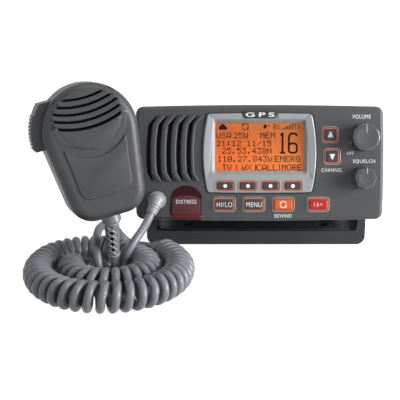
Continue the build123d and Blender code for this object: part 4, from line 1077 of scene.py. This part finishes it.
# ---- Distress cover ----
class RADIO_OT_distress_cover(bpy.types.Operator):
    """Raise the distress cover's face below its scooped arch, with its name and its foot; the face is
    painted lighter than the arch, and the foot carries a painted highlight
    """
    bl_idname = "radio.distress_cover"
    bl_label = "Distress cover"

    def execute(self, context):
        left, right = LID_ARCH[0][0], LID_ARCH[-1][0]
        outline = [*LID_ARCH, (right, LID_FOOT_W), (left, LID_FOOT_W)]
        # The face takes a lighter copy of the cover's red: painted light, against the darker arch above.
        face = plate("distress_face", outline, LID_V - 0.9, LID_V + 0.2)
        fit(soften(face, 0.4, 3), SET, "distress_lid", "lid_face_painted_light")
        # The foot takes a brighter red: a painted highlight along the cover's lower lip.
        foot = bar("distress_foot", (left, LID_V - 0.8, LID_FOOT_W - 2.0),
                   (right, LID_V + 0.4, LID_FOOT_W - 0.1))
        fit(soften(foot, 0.4, 3), SET, "distress_lid", "lid_foot_painted_highlight")
        words = lettering("distress_letters", "DISTRESS", (-55.0, -41.6, -26.8, -24.2), LID_V - 0.92)
        fit(words, SET, "distress_lid", "legend_white")
        return {"FINISHED"}


# ---- Cord gland ----
class RADIO_OT_gland(bpy.types.Operator):
    """Put the moulded rings round the cord gland and its boot"""
    bl_idname = "radio.gland"
    bl_label = "Cord gland"

    def execute(self, context):
        across, up = GLAND
        rings = [ring("gland_ring", major, minor, (across * MM, v * MM, up * MM), (math.pi / 2, 0, 0), 48)
                 for major, minor, v in ((5.3, 0.5, GLAND_V + 0.3), (4.5, 0.35, GLAND_V))]
        fit(together("gland_rings", rings), SET, "radio", "gland_rubber", 60)

        neck = SET @ (Vector((across, GLAND_V, up)) * MM)
        tip = Vector(RADIO_LEAD[0]) * MM
        turn = (tip - neck).to_track_quat("Z", "Y").to_euler()
        rings = [ring("boot_ring", major, 0.4, neck.lerp(tip, share), turn)
                 for share, major in ((0.42, 4.05), (0.62, 3.8), (0.82, 3.5))]
        fit(together("boot_rings", rings), ROW, "radio", "gland_rubber", 60)
        return {"FINISHED"}


# ---- Microphone ----
class RADIO_OT_mic_front(bpy.types.Operator):
    """Model the microphone's grille ribs, its cap, the bowl below them and the raised body panel"""
    bl_idname = "radio.mic_front"
    bl_label = "Microphone front"

    def execute(self, context):
        self.grille()
        self.bowl()
        edge = arc((0, GRILLE_C - 1.0), COLLAR_R + 0.4, -139, -41, 24)
        side = [(19.0, 1.0), (17.9, -6.4), (16.9, -15.8), (16.6, -20.0)]
        corners = arc((9.6, -20.0), 7.0, 0, -90, 8)[1:] + arc((-9.6, -20.0), 7.0, 270, 180, 8)
        outline = edge + side + corners + mirrored(side[:-1])
        panel = plate("mic_body_panel", outline, MIC_FRONT_B - 0.9, MIC_FRONT_B + 1.6)
        fit(soften(panel, 0.8, 4), MIC, "microphone", "mic_plastic", 60)
        return {"FINISHED"}

    def grille(self):
        """The louvres, the cap over the uppermost, and a black sheet behind them that paints the shade in
        their gaps.
        """
        front, back = MIC_FRONT_B - 1.1, MIC_FRONT_B + 0.9
        parts = []
        for k in range(LOUVRES):
            middle = LOUVRE_TOP_C + LOUVRE_R - LOUVRE_PITCH * (k + 0.5)
            half = self.reach(middle, LOUVRE_R)
            path = arc((0, middle), LOUVRE_R, 270 - half, 270 + half, 18)
            rib = strip(f"mic_rib_{k}", path, 3.0, front, back, upright=False, lean=-15)
            parts.append(soften(rib, 0.5, 3, 50))
        middle = LOUVRE_TOP_C + LOUVRE_R + 0.85
        half = self.reach(middle, LOUVRE_R)
        low = arc((0, middle), LOUVRE_R, 270 + half, 270 - half, 18)
        meeting = math.degrees(math.acos(-low[-1][0] / CAP_R))
        top = arc((0, HEAD_C), CAP_R, 180 - meeting + 1, meeting - 1, 24)
        parts.append(soften(plate("mic_cap", low + top, front, back + 1.2), 0.5, 3))
        fit(together("mic_grille", parts), MIC, "microphone", "mic_plastic", 50)
        # A black sheet behind the louvres: painted shade in the gaps between them.
        outline = rounded(42.0, 26.0, 8.0, 0, GRILLE_C)
        shade_sheet = plate("mic_louvre_shade_sheet", outline, MIC_FRONT_B + 2.7, MIC_FRONT_B + 3.2)
        fit(shade_sheet, MIC, "microphone", "painted_shade_black")

    @staticmethod
    def bowl():
        """The bowl below the louvres and the sloping collar round it."""
        front, back = MIC_FRONT_B - 1.9, MIC_FRONT_B + 0.9
        middle = LOUVRE_TOP_C + LOUVRE_R - LOUVRE_PITCH * LOUVRES - 0.95
        top = arc((0, middle), LOUVRE_R, 270 - 21.2, 270 + 21.2, 18)
        low = arc((0, GRILLE_C), GRILLE_R + 0.4, -17, -163, 30)
        bowl = plate("mic_bowl", top + low, front, back)
        fit(soften(bowl, 0.4, 3), MIC, "microphone", "mic_plastic", 60)

        outline = (arc((0, GRILLE_C - 1.0), COLLAR_R, -8, -172, 34)
                   + arc((0, GRILLE_C), GRILLE_R - 0.3, -172, -8, 30))
        collar = plate("mic_bowl_collar", outline, front, back + 1.5)

        def outer(*ends):
            return all(end.y < MIC_FRONT_B - 1.5 and math.hypot(end.x, end.z - GRILLE_C) > GRILLE_R + 2.2
                       for end in ends)

        shape(collar, "EDGE", outer, bpy.ops.transform.translate, value=(0, 2.1 * MM, 0))
        fit(soften(collar, 0.25, 2, 50), MIC, "microphone", "mic_plastic", 60)

    @staticmethod
    def reach(middle, radius):
        """How many degrees a louvre's arc runs to each side before it meets the grille's edge."""
        half = 0.0
        while True:
            across = radius * math.sin(math.radians(half))
            up = middle - radius * math.cos(math.radians(half))
            from_grille, from_head = (math.hypot(across, up - c) for c in (GRILLE_C, HEAD_C))
            if from_grille > GRILLE_R + 0.8 or from_head > CAP_R - 0.2:
                return half
            half += 0.1


class RADIO_OT_talk_button(bpy.types.Operator):
    """Add the round grip ribs of the push-to-talk button"""
    bl_idname = "radio.talk_button"
    bl_label = "Talk button"

    def execute(self, context):
        ribs = []
        steps = TALK_RIBS - 1
        for across, up in arc((0, HEAD_C), TALK_R, TALK_FROM, TALK_FROM - TALK_STEP * steps, steps):
            rib = disc("talk_rib", 1.15, -7.4, 7.4, across, up, 16)
            ribs.append(soften(rib, 0.35, 2, 60))
        fit(together("talk_ribs", ribs), MIC, "talk_button", "talk_rubber", 60)
        return {"FINISHED"}


class RADIO_OT_strain_relief(bpy.types.Operator):
    """Wrap the microphone's strain relief in its crossed ribs and end collars, with painted shade in the
    pockets between the ribs
    """
    bl_idname = "radio.strain_relief"
    bl_label = "Strain relief"

    def execute(self, context):
        way = RELIEF_TIP - RELIEF_TOP
        ahead = way.normalized()
        behind = Vector((1, 0, 0)).cross(ahead).normalized()
        side = behind.cross(ahead)
        parts = [self.rib(way, behind, side, hand) for hand in (-1, 1)]
        turn = way.to_track_quat("Z", "Y").to_euler()
        parts += [ring("relief_ring", major, 0.5, (RELIEF_TOP + way * share) * MM, turn)
                  for share, major in ((0.06, 4.85), (0.92, 3.85))]
        fit(together("relief_ribs", parts), ROW, "microphone", "gland_rubber", 60)

        place = Matrix((-side, behind, -ahead)).transposed().to_4x4()
        # Black patches in the pockets between the crossed ribs: painted shade.
        for k in range(1, 5):
            share = RELIEF_FROM + RELIEF_RUN * k / 5
            radius = self.radius(share)
            shade_patch = disc("relief_painted_shade", 1.4, -radius - 0.1, 0.8 - radius, 0, 0, 4)
            spot = Matrix.Translation((RELIEF_TOP + way * share) * MM)
            fit(shade_patch, spot @ place, "microphone", "painted_shade_black")
        return {"FINISHED"}

    @staticmethod
    def radius(share):
        """The relief's radius to the middle of its ribs, which narrows towards the tip."""
        return 4.95 - 1.2 * share

    def rib(self, way, behind, side, hand, steps=40, period=8, widest=36):
        """A round rib that swings from side to side across the relief's front on its way down."""
        points = []
        for k in range(steps + 1):
            share = RELIEF_FROM + RELIEF_RUN * k / steps
            swing = abs((k / period) % 2 - 1) * 2 - 1
            turn = math.radians(hand * widest * swing)
            points.append(RELIEF_TOP + way * share
                          + self.radius(share) * (math.sin(turn) * side - math.cos(turn) * behind))
        rib = spline("relief_rib", points, 0.62 * MM)
        rib.data.splines[0].resolution_u = 2
        rib.data.bevel_resolution = 2
        rib.data.use_fill_caps = True
        select_only(rib)
        bpy.ops.object.convert(target="MESH")
        return bpy.context.object


# ---- Bracket ----
class RADIO_OT_bracket_trim(bpy.types.Operator):
    """Add the raised rim on the bracket's base and the clamp knobs' caps"""
    bl_idname = "radio.bracket_trim"
    bl_label = "Bracket trim"

    def execute(self, context):
        rim = hoop("bracket_rim", rounded(*BASE_RIM), 1.4, 9.6, 10.8)
        rim.matrix_world = LAID_FLAT
        outwards(settled(rim))
        fit(soften(rim, 0.45, 3), ROW, "bracket", "bracket_plastic", 50)
        for side, body in ((-1, "clamp_left"), (1, "clamp_right")):
            bpy.ops.mesh.primitive_cylinder_add(
                vertices=40, radius=6.5 * MM, depth=1.0 * MM,
                location=(side * CLAMP_CAP_X * MM, 0, PIVOT_Z * MM), rotation=(0, side * math.pi / 2, 0))
            cap = dished(settled(named(f"{body}_cap")), Vector((side, 0, 0)), 1.0, 0.3)
            fit(soften(cap, 0.25, 2), ROW, body, "clamp_rubber")
        return {"FINISHED"}


class RADIO_PT_panel(bpy.types.Panel):
    """Lists the radio's settings and the operators that make its pieces"""
    bl_idname = "RADIO_PT_panel"
    bl_label = "Marine radio"
    bl_space_type = "VIEW_3D"
    bl_region_type = "UI"
    bl_category = "Radio"

    def draw(self, context):
        for group in (context.scene.radio_sizes, context.scene.radio_colours):
            for name in group.bl_rna.properties.keys():
                if name not in ("rna_type", "name"):
                    self.layout.prop(group, name)
        for operator in STEPS:
            self.layout.operator(operator.bl_idname)


# The camera and the cords come first, then the finishes, and then the pieces from the face outwards.
STEPS = (RADIO_OT_stage, RADIO_OT_cords, RADIO_OT_finishes, RADIO_OT_speaker_ribs, RADIO_OT_display,
         RADIO_OT_key_marks, RADIO_OT_face_letters, RADIO_OT_knobs, RADIO_OT_distress_cover, RADIO_OT_gland,
         RADIO_OT_mic_front, RADIO_OT_talk_button, RADIO_OT_strain_relief, RADIO_OT_bracket_trim)
CLASSES = (RadioColours, RadioSizes, *STEPS, RADIO_PT_panel)


def register():
    for group in CLASSES:
        bpy.utils.register_class(group)
    bpy.types.Scene.radio_colours = bpy.props.PointerProperty(type=RadioColours)
    bpy.types.Scene.radio_sizes = bpy.props.PointerProperty(type=RadioSizes)


def unregister():
    del bpy.types.Scene.radio_sizes
    del bpy.types.Scene.radio_colours
    for group in reversed(CLASSES):
        bpy.utils.unregister_class(group)


def main():
    register()
    for step in STEPS:
        group, name = step.bl_idname.split(".")
        getattr(getattr(bpy.ops, group), name)()


if __name__ == "__main__":
    main()
